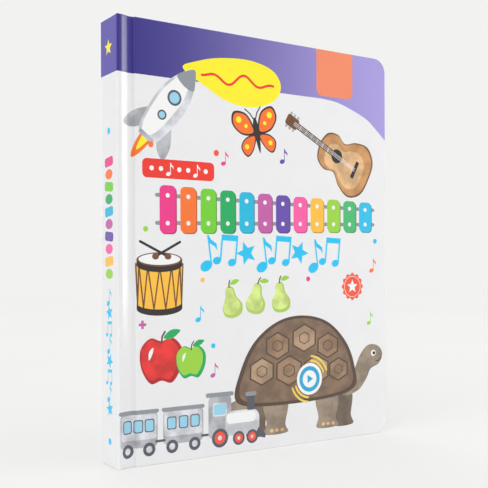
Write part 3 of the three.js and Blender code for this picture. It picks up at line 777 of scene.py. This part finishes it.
def draw_spine():
    for i, tone in enumerate(BAR_TONES[:10]):
        z = 193.5 - 7.9 * i
        if i % 2:
            SHEET.disc(tone, 0, z, 5.4, 3.3, 24)
        else:
            SHEET.block(tone, 0, z, 12.4, 6, 2, turn=6 * (-1) ** (i // 2))
    for i in range(8):
        z = 108 - 10.2 * i
        if i % 3 == 1:
            SHEET.star("cyan_bright", 0, z, 5.2, 12 * i)
        elif i % 3 == 2:
            two_notes("cyan_bright", (0, z), 9.6, shift=0)
        else:
            note("cyan_bright", (0, z), 10.5, shift=0)
    for z in (213, 16):
        SHEET.disc("cyan_bright", 0, z, 2.2, count=16)
    SHEET.star("yellow", 0, 266, 5.4)


def draw_back():
    """Plain shapes on the back cover, over the module's window."""
    def back(u):
        return -(u + SHIFT)

    for i, tone in enumerate(BAR_TONES):
        shape = (oval(5.4), moved(star(), (0, 0), 6.6), rounded(9, 9, 2))[i % 3]
        SHEET.shape(tone, moved(shape, (back(30 + 16 * i), 214 + 7 * sin(i * 0.9)), 1.0, 9 * i))
    for i, (u, z) in enumerate(((50, 172), (84, 184), (118, 170), (152, 184), (188, 172))):
        two_notes(("cyan_bright", "rose", "amber")[i % 3], (back(u), z), 18, 6 * (-1) ** i, shift=0)
    ribbon = [(back(u), 138 + 5 * sin(u / 17)) for u in np.linspace(26, 212, 60)]
    SHEET.line("cyan_bright", ribbon, 2.6)
    for i, u in enumerate(np.linspace(40, 200, 9)):
        SHEET.star(("yellow", "orange", "leaf_green")[i % 3], back(u), 152 - 3 * (i % 2), 3.4, 20 * i)
    for i, u in enumerate(np.linspace(32, 208, 12)):
        SHEET.disc(("mauve", "azure", "lime", "orange")[i % 4], back(u), 14, 2.4, count=16)


for draw in (
    draw_fields, draw_leaf, draw_rocket, draw_butterfly, draw_guitar, draw_small_marks, draw_bars,
    draw_blue_row, draw_badge, draw_drum, draw_pears, draw_apples, draw_tortoise, draw_train, draw_button,
    draw_spine, draw_back,
):
    draw()


# Inks

TONES = {
    "ground": (229, 229, 231), "paper_white": (238, 238, 238), "orange_tab": (237, 135, 99),
    "yellow": (246, 232, 36), "red_label": (232, 52, 40), "badge_red": (236, 86, 62),
    "badge_edge": (250, 214, 200), "cyan_bright": (28, 190, 236), "pink": (232, 52, 134),
    "orange": (242, 114, 42), "lime": (112, 202, 44), "green": (24, 166, 92), "cyan": (24, 180, 216),
    "mauve": (190, 92, 162), "indigo": (100, 72, 166), "rose": (240, 92, 162), "amber": (246, 186, 62),
    "leaf_green": (150, 206, 62), "teal": (72, 182, 112), "azure": (42, 186, 226),
    "ring_blue": (36, 164, 210), "arc_yellow": (236, 206, 82), "mid_grey": (140, 144, 152),
    "dark_grey": (84, 86, 96), "sky": (150, 205, 228), "black": (44, 36, 34),
    "pear_shade": (170, 200, 96), "apple_deep": (176, 28, 38), "shell_rim": (84, 66, 54),
}
TONES.update({tone + "_deep": shaded(TONES[tone], 0.72) for tone in BAR_TONES})

# Inks that vary more, like brushwork
PAINTED = {
    "grey": (176, 178, 184), "pale_grey": (212, 214, 220), "brown": (112, 74, 46),
    "tan": (196, 144, 92), "pale_tan": (222, 180, 132), "pear": (204, 224, 130), "apple": (220, 48, 46),
    "tortoise_skin": (150, 134, 116), "tortoise_dark": (112, 98, 84), "shell": (128, 104, 84),
    "shell_plate": (150, 122, 96), "shell_light": (172, 144, 116),
}


# The band's ink pales between two places over the front cover, partly as print and partly as a painted
# reflection of the studio light towards the fore edge. It has its own tone on the spine, up to where the
# sheet bends into the joint.
BAND_DEEP = (45, 36, 128)
BAND_PALE = (168, 156, 220)
BAND_FADE = (-6.0, BOOK_WIDTH + 30)
SPINE_INK = (72, 58, 162)
SPINE_INK_END = (11.2, 12.6)


def purple_print():
    """The band's ink, which pales across the front cover towards the fore edge, partly as print and partly as
    painted reflection.
    """
    nodes = material("print_purple")
    place = coordinates(nodes, "UV")
    along = nodes.add("ShaderNodeSeparateXYZ", Vector=place).outputs["X"]
    # The paling towards the fore edge is partly print and partly a painted reflection of the light
    print_and_reflection_paling = nodes.smooth(along, *((u + SHIFT) * 0.001 for u in BAND_FADE))
    front = nodes.mix(print_and_reflection_paling, linear(BAND_DEEP), linear(BAND_PALE))
    beyond = nodes.smooth(nodes.math("ABSOLUTE", along), *(s * 0.001 for s in SPINE_INK_END))
    tone = nodes.mix(beyond, linear(SPINE_INK), front)
    soft = nodes.smooth(nodes.noise(place, 30.0, 3.0), 0.3, 0.7, 0.97, 1.0)
    nodes.grained(tone, place, *PRINT_GRAIN, soft)
    return nodes.finish(Roughness=PRINT_ROUGHNESS, Specular_IOR_Level=0.0, Coat_Weight=1.0,
                        Coat_Roughness=LAMINATE_ROUGHNESS)


inks = {"purple": purple_print()}
inks.update({tone: printed(tone, rgb, shaded(rgb, 0.992)) for tone, rgb in TONES.items()})
inks.update({
    tone: printed(tone, shaded(rgb, 1.05), shaded(rgb, 0.88), 90.0) for tone, rgb in PAINTED.items()
})
liner = surface("liner", (238, 236, 230), (230, 228, 222), patch=30.0, grain=1600.0, depth=0.05,
                roughness=0.7, coords="UV")


# Meshes


def inside(points, polygon):
    """Which of the points lie inside the polygon."""
    x, y = points[:, 0], points[:, 1]
    low, high = polygon.min(0), polygon.max(0)
    near = (x > low[0]) & (x < high[0]) & (y > low[1]) & (y < high[1])
    px, py = x[near], y[near]
    odd = np.zeros(len(px), bool)
    for (ax, ay), (bx, by) in zip(polygon, np.roll(polygon, -1, axis=0)):
        if ay != by:
            odd ^= ((ay > py) != (by > py)) & (px < (bx - ax) * (py - ay) / (by - ay) + ax)
    result = np.zeros(len(points), bool)
    result[near] = odd
    return result


def make_object(name, points, faces, materials, tones=None, normals=None, uvs=None, smooth=True):
    mesh = bpy.data.meshes.new(name)
    mesh.from_pydata([Vector(p) for p in points], [], faces)
    for finish in materials:
        mesh.materials.append(finish)
    mesh.polygons.foreach_set("use_smooth", [smooth] * len(mesh.polygons))
    if tones is not None:
        mesh.polygons.foreach_set("material_index", tones)
    if uvs is not None:
        layer = mesh.uv_layers.new(name="sheet")
        loops = np.empty(len(mesh.loops), int)
        mesh.loops.foreach_get("vertex_index", loops)
        layer.data.foreach_set("uv", (np.asarray(uvs, float) * UV_SCALE)[loops].ravel())
    mesh.update()
    if normals is not None:
        mesh.normals_split_custom_set_from_vertices([Vector(n).normalized() for n in normals])
    piece = bpy.data.objects.new(name, mesh)
    bpy.context.scene.collection.objects.link(piece)
    return piece


def arc(centre, radius, start, end, count):
    angles = [start + (end - start) * k / count for k in range(count + 1)]
    return [(centre[0] + radius * cos(a), centre[1] + radius * sin(a)) for a in angles]


def board_outline(start, end, low, high, radius, count):
    """An outline with square corners at its start and round ones at its end."""
    points = [(start, low)]
    points += arc((end - radius, low + radius), radius, -pi / 2, 0, count)
    points += arc((end - radius, high - radius), radius, 0, pi / 2, count)
    return points + [(start, high)]


def outward(s, z):
    """The direction in which the sheet ends nearest to a place on its outline."""
    radius = CORNER_RADIUS - EDGE_ROUND
    centre_s = SHEET_END - radius
    middle = BOOK_HEIGHT / 2
    centre_z = middle + copysign(middle - EDGE_ROUND - radius, z - middle)
    if s > centre_s and abs(z - middle) > abs(centre_z - middle):
        away = np.array([s - centre_s, z - centre_z])
        return away / np.hypot(*away)
    if abs(s - SHEET_END) < NEAR:
        return np.array([1.0, 0.0])
    return np.array([0.0, copysign(1.0, z - middle)])


def flat_sheet(side, window):
    """One half of the sheet, up to where its edges round over, as triangles that follow the print.

    Gives the points, the triangles, each triangle's place in the list of inks, and that list."""
    border = np.array(board_outline(
        0.0, SHEET_END, EDGE_ROUND, BOOK_HEIGHT - EDGE_ROUND, CORNER_RADIUS - EDGE_ROUND, CASE_CORNER_STEPS,
    ))
    low, high = border.min(0) - 1, border.max(0) + 1
    prints = [(tone, points * (-side, 1)) for tone, points in art]
    prints = [p for p in prints if ((p[1].max(0) > low) & (p[1].min(0) < high)).all()]
    cuts = [border] if window is None else [border, window]
    points, edges = [], []
    for polygon in cuts + [p for _, p in prints]:
        first, count = len(points), len(polygon)
        points += [Vector(p) for p in np.clip(polygon, low - 4, high + 4)]
        edges += [(first + i, first + (i + 1) % count) for i in range(count)]
    for s in ALONG[1:-1]:
        edges.append((len(points), len(points) + 1))
        points += [Vector((s, low[1])), Vector((s, high[1]))]
    flat, _, triangles, *_ = delaunay_2d_cdt(points, edges, [], 0, SAME_POINT)
    flat = np.array([tuple(p) for p in flat])
    triangles = np.array([t for t in triangles if len(t) == 3])
    corners = flat[triangles]
    spans = np.cross(corners[:, 1] - corners[:, 0], corners[:, 2] - corners[:, 0])
    triangles[spans < 0] = triangles[spans < 0][:, ::-1]
    triangles = triangles[np.abs(spans) > SLIVER]
    centres = flat[triangles].mean(axis=1)
    kept = inside(centres, border)
    if window is not None:
        kept &= ~inside(centres, window)
    triangles, centres = triangles[kept], centres[kept]
    names = ["ground"] + sorted({tone for tone, _ in prints})
    tones = np.zeros(len(triangles), int)
    for tone, polygon in prints:
        tones[inside(centres, polygon)] = names.index(tone)
    used, triangles = np.unique(triangles, return_inverse=True)
    return flat[used], triangles.reshape(-1, 3), tones, names


def free_edges(triangles, tones):
    """The edges that belong to one triangle only, each with its ink."""
    owners = {}
    for (a, b, c), tone in zip(triangles, tones):
        owners.update({(a, b): tone, (b, c): tone, (c, a): tone})
    return {(a, b): tone for (a, b), tone in owners.items() if (b, a) not in owners}


def on_window(ends, window):
    return window is not None and bool(
        (ends > window.min(0) - NEAR).all() and (ends < window.max(0) + NEAR).all()
    )


def border_chain(flat, following):
    """The border's points from the spine's foot round to its head, and the ink of each step."""
    chain, steps = [int(np.argmin(np.abs(flat - (0.0, EDGE_ROUND)).sum(1)))], []
    while chain[-1] in following:
        after, tone = following[chain[-1]]
        if max(flat[after][0], flat[chain[-1]][0]) < SAME_POINT:
            break
        chain.append(after)
        steps.append(tone)
    return chain, steps


class Skin:
    """The mesh of one half of the wrap. side is -1 at the front and 1 at the back."""

    def __init__(self, side):
        self.side = side
        self.places, self.normals, self.uvs = [], [], []
        self.faces, self.tones = [], []

    def point(self, place, normal, uv):
        (u, d, z), (nu, nd, nz) = place, normal
        self.places.append(metres(u, self.side * d, z))
        self.normals.append((nu, self.side * nd, nz))
        self.uvs.append(uv)
        return len(self.places) - 1

    def face(self, corners, tone):
        self.faces.append(corners if self.side < 0 else corners[::-1])
        self.tones.append(tone)

    def ring(self, v, s, z):
        """Folds the sheet's edge round to the inside at point v of its border."""
        out_s, out_z = outward(s, z)
        p, n, q = at(LINE, s), at(NORMALS, s), at(INNER, s)
        depth = p - q
        reach = float(np.hypot(*depth))
        rim = min(EDGE_ROUND, reach / 2)
        levels = [
            (p - n * rim * (1 - cos(a)), EDGE_ROUND * sin(a), n * cos(a), sin(a))
            for a in (pi / 6, pi / 3, pi / 2)
        ]
        levels.append((q + depth / reach * min(INNER_ROUND, reach / 4), EDGE_ROUND, n * 0, 1.0))
        levels.append((q, EDGE_ROUND - INNER_ROUND, -n * 0.7, 0.7))
        levels.append((q, EDGE_ROUND - TURN_IN, -n, 0.0))
        ring = [v]
        for (u, d), push, (nu, nd), lean in levels:
            ring.append(self.point(
                (u + out_s * push, d, z + out_z * push), (nu + out_s * lean, nd, out_z * lean),
                (-self.side * (s + out_s * push), z + out_z * push),
            ))
        return ring

    def window_edge(self, flat, edges, window):
        """The cut edge of the wrap round the module's window."""
        middle = (window.min(0) + window.max(0)) / 2
        lower = {}
        for (a, b), tone in edges.items():
            for v in (a, b):
                if v not in lower:
                    s, z = flat[v]
                    away = middle - flat[v]
                    place = (at(LINE, s)[0], HALF_THICKNESS - WRAP_THICKNESS, z)
                    lower[v] = self.point(place, (away[0], 0.0, away[1]), self.uvs[v])
            self.face((b, a, lower[a], lower[b]), tone)

    def inner_paper(self, tone):
        """The paper on the wrap's inside, behind the spine and across the joint."""
        low = TURN_IN - EDGE_ROUND
        rows = [
            [self.point((u, d, z), (-nu, -nd, 0.0), (s, z)) for z in (low, BOOK_HEIGHT - low)]
            for (u, d), (nu, nd), s in zip(INNER, NORMALS, ALONG) if u <= JOINT_WIDTH + LIP_ROUND + 1
        ]
        for one, two in zip(rows, rows[1:]):
            self.face((two[0], one[0], one[1], two[1]), tone)


def wrap_half(name, side, window=None):
    """One half of the printed wrap, with its print flush in the surface."""
    flat, triangles, tones, names = flat_sheet(side, window)
    skin = Skin(side)
    for s, z in flat:
        (u, d), (nu, nd) = at(LINE, s), at(NORMALS, s)
        skin.point((u, d, z), (nu, nd, 0.0), (-side * s, z))
    for corners, tone in zip(triangles, tones):
        skin.face(tuple(corners), tone)
    free = free_edges(triangles, tones)
    cut = {edge: tone for edge, tone in free.items() if on_window(flat[list(edge)], window)}
    chain, steps = border_chain(flat, {a: (b, tone) for (a, b), tone in free.items() if (a, b) not in cut})
    rings = [skin.ring(v, *flat[v]) for v in chain]
    for one, two, tone in zip(rings, rings[1:], steps):
        for k in range(len(one) - 1):
            skin.face((two[k], one[k], one[k + 1], two[k + 1]), tone)
    if window is not None:
        skin.window_edge(flat, cut, window)
    skin.inner_paper(len(names))
    return make_object(name, skin.places, skin.faces, [inks[tone] for tone in names] + [liner],
                       skin.tones, skin.normals, skin.uvs)


def module_window():
    """The window in the back cover, which follows the module's own box."""
    low, high = (np.array(corner) * 1000 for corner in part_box("module_base"))
    middle = ((low[0] + high[0]) / 2 + BOOK_WIDTH / 2 + SHIFT, (low[2] + high[2]) / 2)
    width, height = high[0] - low[0] + 2 * WINDOW_GAP, high[2] - low[2] + 2 * WINDOW_GAP
    return np.array(moved(rounded(width, height, WINDOW_CORNER), middle))


def bend(piece, cover):
    """Bakes the piece's transform into its mesh, in the same way for either cover."""
    if cover == "front_cover":
        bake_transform(piece)
    else:
        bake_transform(piece)


front = wrap_half("front_half_wrap", -1)
bend(front, "front_cover")
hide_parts("spine_wrap", "front_wrap")
back = wrap_half("back_half_wrap", 1, module_window())
bend(back, "back_cover")
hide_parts("back_wrap")


# Pages and endpapers

card_edge = surface("card_edge", (230, 226, 216), (227, 223, 213), grain=2500.0, depth=0.05, roughness=0.8)
card_face = surface("card_face", (240, 237, 228), (232, 229, 220), patch=25.0, grain=1500.0, depth=0.03,
                    roughness=0.45, coat=0.3, bump=0.00001)


# The page's picture, in metres, with the hill's wave in radians a metre
SKY_FADE = (0.08, 0.28)
HILL_HEIGHT = 0.085
HILL_SWING = 0.014
HILL_WAVE = 18.0

# The endpaper's rows of dots: how many to a metre, and where a dot's edge softens in its cell
DOT_SCALE = 95.0
DOT_EDGE = (0.19, 0.22)


def picture_page():
    """A page printed with a pale sky over a green hill."""
    nodes = material("page_picture")
    place = coordinates(nodes, "Object")
    axes = nodes.add("ShaderNodeSeparateXYZ", Vector=place).outputs
    height = nodes.smooth(axes["Z"], *SKY_FADE)
    sky = nodes.mix(height, linear((222, 240, 246)), linear((140, 202, 232)))
    clouds = nodes.smooth(nodes.noise(place, 14.0, 4.0), 0.52, 0.66)
    sky = nodes.mix(clouds, sky, linear((246, 248, 248)))
    wave = nodes.math("SINE", nodes.math("MULTIPLY", axes["X"], HILL_WAVE))
    hill = nodes.math("MULTIPLY_ADD", wave, HILL_SWING, HILL_HEIGHT)
    ground = nodes.smooth(nodes.math("SUBTRACT", hill, axes["Z"]), -0.0004, 0.0004)
    grass = nodes.patches(place, 70.0, (150, 204, 88), (112, 178, 66), low=0.3, high=0.7)
    nodes.colour(nodes.mix(ground, sky, grass))
    nodes.bump(nodes.noise(place, 1500.0), 0.000008)
    return nodes.finish(Roughness=0.42, Coat_Weight=0.4, Coat_Roughness=0.2)


def pages():
    """The card leaves, each a little bevelled and a little out of line."""
    y0, y1 = (corner.y * 1000 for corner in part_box("page_block"))
    pitch = (y1 - y0) / LEAF_COUNT
    shuffle = np.random.default_rng(4)
    places, faces, tones = [], [], []
    for leaf in range(LEAF_COUNT):
        shift = float(shuffle.uniform(0.0, LEAF_SHIFT))
        a, b = y0 + pitch * leaf + LEAF_GAP / 2, y0 + pitch * (leaf + 1) - LEAF_GAP / 2
        rings = []
        for y, pull in ((a, LEAF_BEVEL), (a + LEAF_BEVEL, 0), (b - LEAF_BEVEL, 0), (b, LEAF_BEVEL)):
            inset = shift + pull
            low = PAGE_INSET + inset / 2
            outline = board_outline(
                PAGE_START, PAGE_END - inset, low, BOOK_HEIGHT - low,
                PAGE_CORNER - inset / 2, PAGE_CORNER_STEPS,
            )
            rings.append(list(range(len(places), len(places) + len(outline))))
            places += [metres(u, y, z) for u, z in outline]
        for one, two in zip(rings, rings[1:]):
            for i in range(len(one)):
                j = (i + 1) % len(one)
                faces.append((one[i], one[j], two[j], two[i]))
                tones.append(0)
        faces += [tuple(rings[0][::-1]), tuple(rings[-1])]
        tones += [2 if leaf == 0 else 1, 2 if leaf == LEAF_COUNT - 1 else 1]
    finishes = [card_edge, card_face, picture_page()]
    piece = make_object("page_leaves", places, [f[::-1] for f in faces], finishes, tones, smooth=False)
    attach(piece, "spine")
    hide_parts("page_block")


def endpaper():
    """Soft blue endpaper with rows of paler dots."""
    nodes = material("endpaper")
    place = coordinates(nodes, "Object")
    axes = nodes.add("ShaderNodeSeparateXYZ", Vector=place).outputs
    flat = nodes.add("ShaderNodeCombineXYZ", X=axes["X"], Y=axes["Z"]).outputs[0]
    turned = nodes.add("ShaderNodeMapping", Vector=flat, Rotation=(0, 0, pi / 4)).outputs[0]
    cells = nodes.add("ShaderNodeTexVoronoi", Scale=DOT_SCALE, Randomness=0.0)
    cells.voronoi_dimensions = "2D"
    nodes.plug(cells.inputs["Vector"], turned)
    dots = nodes.smooth(cells.outputs["Distance"], *DOT_EDGE, 1.0, 0.0)
    base = nodes.patches(place, 30.0, (120, 196, 220), (112, 188, 214), 2.0, 0.3, 0.7)
    nodes.colour(nodes.mix(dots, base, linear((206, 234, 240))))
    nodes.bump(nodes.noise(place, 1300.0, 3.0), 0.00002)
    return nodes.finish(Roughness=0.7)


def hinge_paper(name, side, cover, page_face, lining_face):
    """The endpaper's fold, from the first or last page over the joint to the lining on the cover."""
    page, lining = page_face + side * FOLD_LIFT, lining_face - side * FOLD_LIFT
    bends = [(FOLD_START, page), (HINGE_LINE, page), (FOLD_END, lining), (FLAP_END, lining)]
    line = spline(bends, FOLD_STEPS)
    places, faces, uvs = [], [], []
    for u, y in line:
        for lift in (0, FOLD_THICKNESS):
            for z in (FOLD_INSET, BOOK_HEIGHT - FOLD_INSET):
                places.append(metres(u, y + lift, z))
                uvs.append((u, z))
    for a in range(0, len(places) - 4, 4):
        b = a + 4
        faces += [
            (a, b, b + 1, a + 1), (a + 2, a + 3, b + 3, b + 2),
            (a, a + 2, b + 2, b), (a + 1, b + 1, b + 3, a + 3),
        ]
    last = len(places) - 4
    faces += [(0, 1, 3, 2), (last, last + 2, last + 3, last + 1)]
    piece = make_object(name, places, faces, [fold_finish], uvs=uvs, smooth=False)
    bend(piece, cover)


pages()
fold_finish = surface("endpaper_fold", (118, 194, 219), (113, 189, 215), patch=30.0, grain=1300.0,
                      roughness=0.7, coords="UV")
page_low, page_high = (corner.y * 1000 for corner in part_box("page_block"))
hinge_paper("front_hinge_paper", -1, "front_cover", page_low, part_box("front_pastedown")[1].y * 1000)
hinge_paper("back_hinge_paper", 1, "back_cover", page_high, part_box("back_lining")[0].y * 1000)


# Finishes of the remaining solids


def dress(finish, *names):
    for name in names:
        mesh = frame["nodes"][name].data
        mesh.materials.clear()
        mesh.materials.append(finish)


def glossy_plastic(name, rgb, second):
    return surface(name, rgb, second, patch=60.0, grain=2000.0, roughness=0.35)


dress(surface("greyboard", (163, 157, 146), (146, 140, 130), patch=300.0, grain=1800.0, depth=0.2,
              roughness=0.9, bump=0.00008),
      "spine_board", "front_board", "back_board", "guard_strip")
dress(surface("foam_board", (232, 230, 222), (229, 227, 219), patch=120.0, grain=1600.0, depth=0.05,
              roughness=0.85),
      "module_carrier")
dress(surface("white_plastic", (234, 234, 232), (228, 228, 226), patch=12.0, grain=2200.0, depth=0.03,
              roughness=0.42),
      "module_housing", "battery_door")
dress(surface("white_plastic_inner", (226, 226, 222), (218, 218, 214), patch=20.0, grain=2200.0, depth=0.05,
              bump=0.00003),
      "module_base")
dress(glossy_plastic("blue_plastic", (47, 159, 208), (40, 148, 198)),
      "volume_down_button", "volume_up_button")
dress(glossy_plastic("orange_plastic", (238, 134, 66), (228, 122, 56)), "power_knob")
dress(surface("black_plastic", (36, 36, 39), (28, 28, 31), patch=80.0, grain=2000.0, depth=0.1, bump=0.00003),
      "sound_chip", "tail_connector", "volume_down_switch", "volume_up_switch")
dress(surface("steel", (188, 190, 194), (168, 170, 175), patch=150.0, grain=3000.0, depth=0.1,
              roughness=0.3, metallic=1.0, bump=0.00001),
      *(name for name in frame["nodes"] if "screw" in name or name.startswith("contact_")),
      "speaker_basket", "speaker_magnet", "power_switch")
dress(surface("battery_case", (58, 64, 78), (50, 56, 70), patch=90.0, grain=2400.0, depth=0.06,
              roughness=0.35, metallic=0.35, coat=0.5),
      "battery_1", "battery_2", "battery_3")
dress(surface("circuit", (44, 106, 62), (34, 88, 52), patch=260.0, depth=0.15, roughness=0.4, coat=0.4),
      "circuit_board")
dress(surface("film", (214, 180, 92), (206, 170, 82), patch=160.0, grain=1200.0, depth=0.05, roughness=0.35),
      "touch_membrane", "membrane_tail")
dress(surface("foam", (44, 44, 47), (32, 32, 34), patch=900.0, grain=2600.0, depth=0.3, roughness=0.95,
              bump=0.0002),
      "speaker_gasket")
dress(surface("cone_paper", (58, 53, 47), (46, 42, 37), patch=300.0, grain=1800.0, depth=0.2,
              roughness=0.85, bump=0.0001),
      "speaker_cone")
for colour, rgb in (("red", (194, 58, 48)), ("black", (30, 30, 33))):
    dress(surface(colour + "_sleeve", rgb, patch=200.0, roughness=0.45),
          "speaker_wire_" + colour, "battery_wire_" + colour)
dress(endpaper(), "spine_lining", "front_pastedown", "back_lining")


# Floor, light and camera


def floor_finish():
    """A matt pale floor. The camera sees part of it as plain white, so that its shadow stays soft."""
    nodes = material("floor_finish")
    place = coordinates(nodes, "Object")
    nodes.colour(nodes.patches(place, 0.8, (229, 229, 227), (233, 233, 231), 2.0, 0.3, 0.7))
    rays = nodes.add("ShaderNodeLightPath").outputs
    seen = nodes.math("MAXIMUM", rays["Is Camera Ray"], rays["Is Glossy Ray"])
    seen = nodes.math("MAXIMUM", seen, rays["Is Transmission Ray"])
    glow = nodes.add("ShaderNodeEmission", Color=linear(BACKDROP), Strength=1.0).outputs[0]
    mixed = nodes.mix_shaders(nodes.math("MULTIPLY", seen, FLOOR_GLOW), nodes.shader.outputs[0], glow)
    nodes.tree.links.new(mixed, nodes.tree.nodes["Material Output"].inputs["Surface"])
    return nodes.finish(Roughness=0.9, Specular_IOR_Level=0.0)


def stage():
    h = FLOOR_HALF
    corners = [(-h, -h, 0), (h, -h, 0), (h, h, 0), (-h, h, 0)]
    floor = make_object("floor", corners, [(0, 1, 2, 3)], [floor_finish()])


def world():
    """Even studio light. The camera sees a plain pale backdrop, and gloss a studio with one darker end."""
    nodes = Nodes(bpy.data.worlds.new("studio"))
    nodes.tree.nodes.clear()
    rays = nodes.add("ShaderNodeLightPath").outputs
    towards = nodes.add("ShaderNodeVectorMath")
    towards.operation = "DOT_PRODUCT"
    nodes.plug(towards.inputs[0], nodes.add("ShaderNodeTexCoord").outputs["Generated"])
    nodes.plug(towards.inputs[1], DARK_END)
    dark = nodes.smooth(towards.outputs["Value"], *DARK_REACH, 1.0, DARK_LEVEL)

    def background(colour, strength):
        return nodes.add("ShaderNodeBackground", Color=colour, Strength=strength).outputs[0]

    seen = background(linear(BACKDROP), 1.0)
    result = background((1, 1, 1, 1), WORLD_LIGHT)
    result = nodes.mix_shaders(rays["Is Glossy Ray"], result, background(linear(BACKDROP), dark))
    result = nodes.mix_shaders(rays["Is Transmission Ray"], result, seen)
    result = nodes.mix_shaders(rays["Is Camera Ray"], result, seen)
    nodes.add("ShaderNodeOutputWorld", Surface=result)
    bpy.context.scene.world = nodes.owner


def lamp(light, rotation, place=(0, 0, 0)):
    piece = bpy.data.objects.new(light.name, light)
    piece.location = place
    piece.rotation_euler = rotation.to_euler()
    bpy.context.scene.collection.objects.link(piece)


def sun(name, azimuth, elevation, strength):
    """A soft light from far away. The azimuth turns from the front cover's side towards the fore edge."""
    light = bpy.data.lights.new(name, "SUN")
    light.energy = strength
    light.angle = radians(SUN_SPREAD)
    a, e = radians(azimuth), radians(elevation)
    towards = Vector((sin(a) * cos(e), -cos(a) * cos(e), sin(e)))
    lamp(light, towards.to_track_quat("Z", "Y"))


def panel(name, place, target, size, power):
    light = bpy.data.lights.new(name, "AREA")
    light.shape = "RECTANGLE"
    light.size, light.size_y = size
    light.energy = power
    lamp(light, (Vector(target) - Vector(place)).to_track_quat("-Z", "Y"), place)


def camera():
    lens = bpy.data.cameras.new("camera")
    lens.lens = CAMERA_LENS
    lens.sensor_width = 36.0
    lens.shift_y = CAMERA_SHIFT
    lens.clip_start = 0.01
    view = bpy.data.objects.new("camera", lens)
    view.matrix_world = (
        Matrix.Translation(CAMERA_PLACE)
        @ Matrix.Rotation(radians(CAMERA_HEADING), 4, "Z")
        @ Matrix.Rotation(radians(90 + CAMERA_PITCH), 4, "X")
        @ Matrix.Rotation(radians(CAMERA_ROLL), 4, "Z")
    )
    bpy.context.scene.collection.objects.link(view)
    bpy.context.scene.camera = view


world()
stage()
sun("key", azimuth=30, elevation=52, strength=0.55)
sun("side", azimuth=-66, elevation=32, strength=1.45)
sun("back", azimuth=165, elevation=20, strength=1.1)
panel("window_light", place=(1.5, -0.75, 0.35), target=(0.05, 0, 0.14), size=(0.5, 1.0), power=8.0)
camera()
bpy.context.scene.view_settings.view_transform = "Standard"
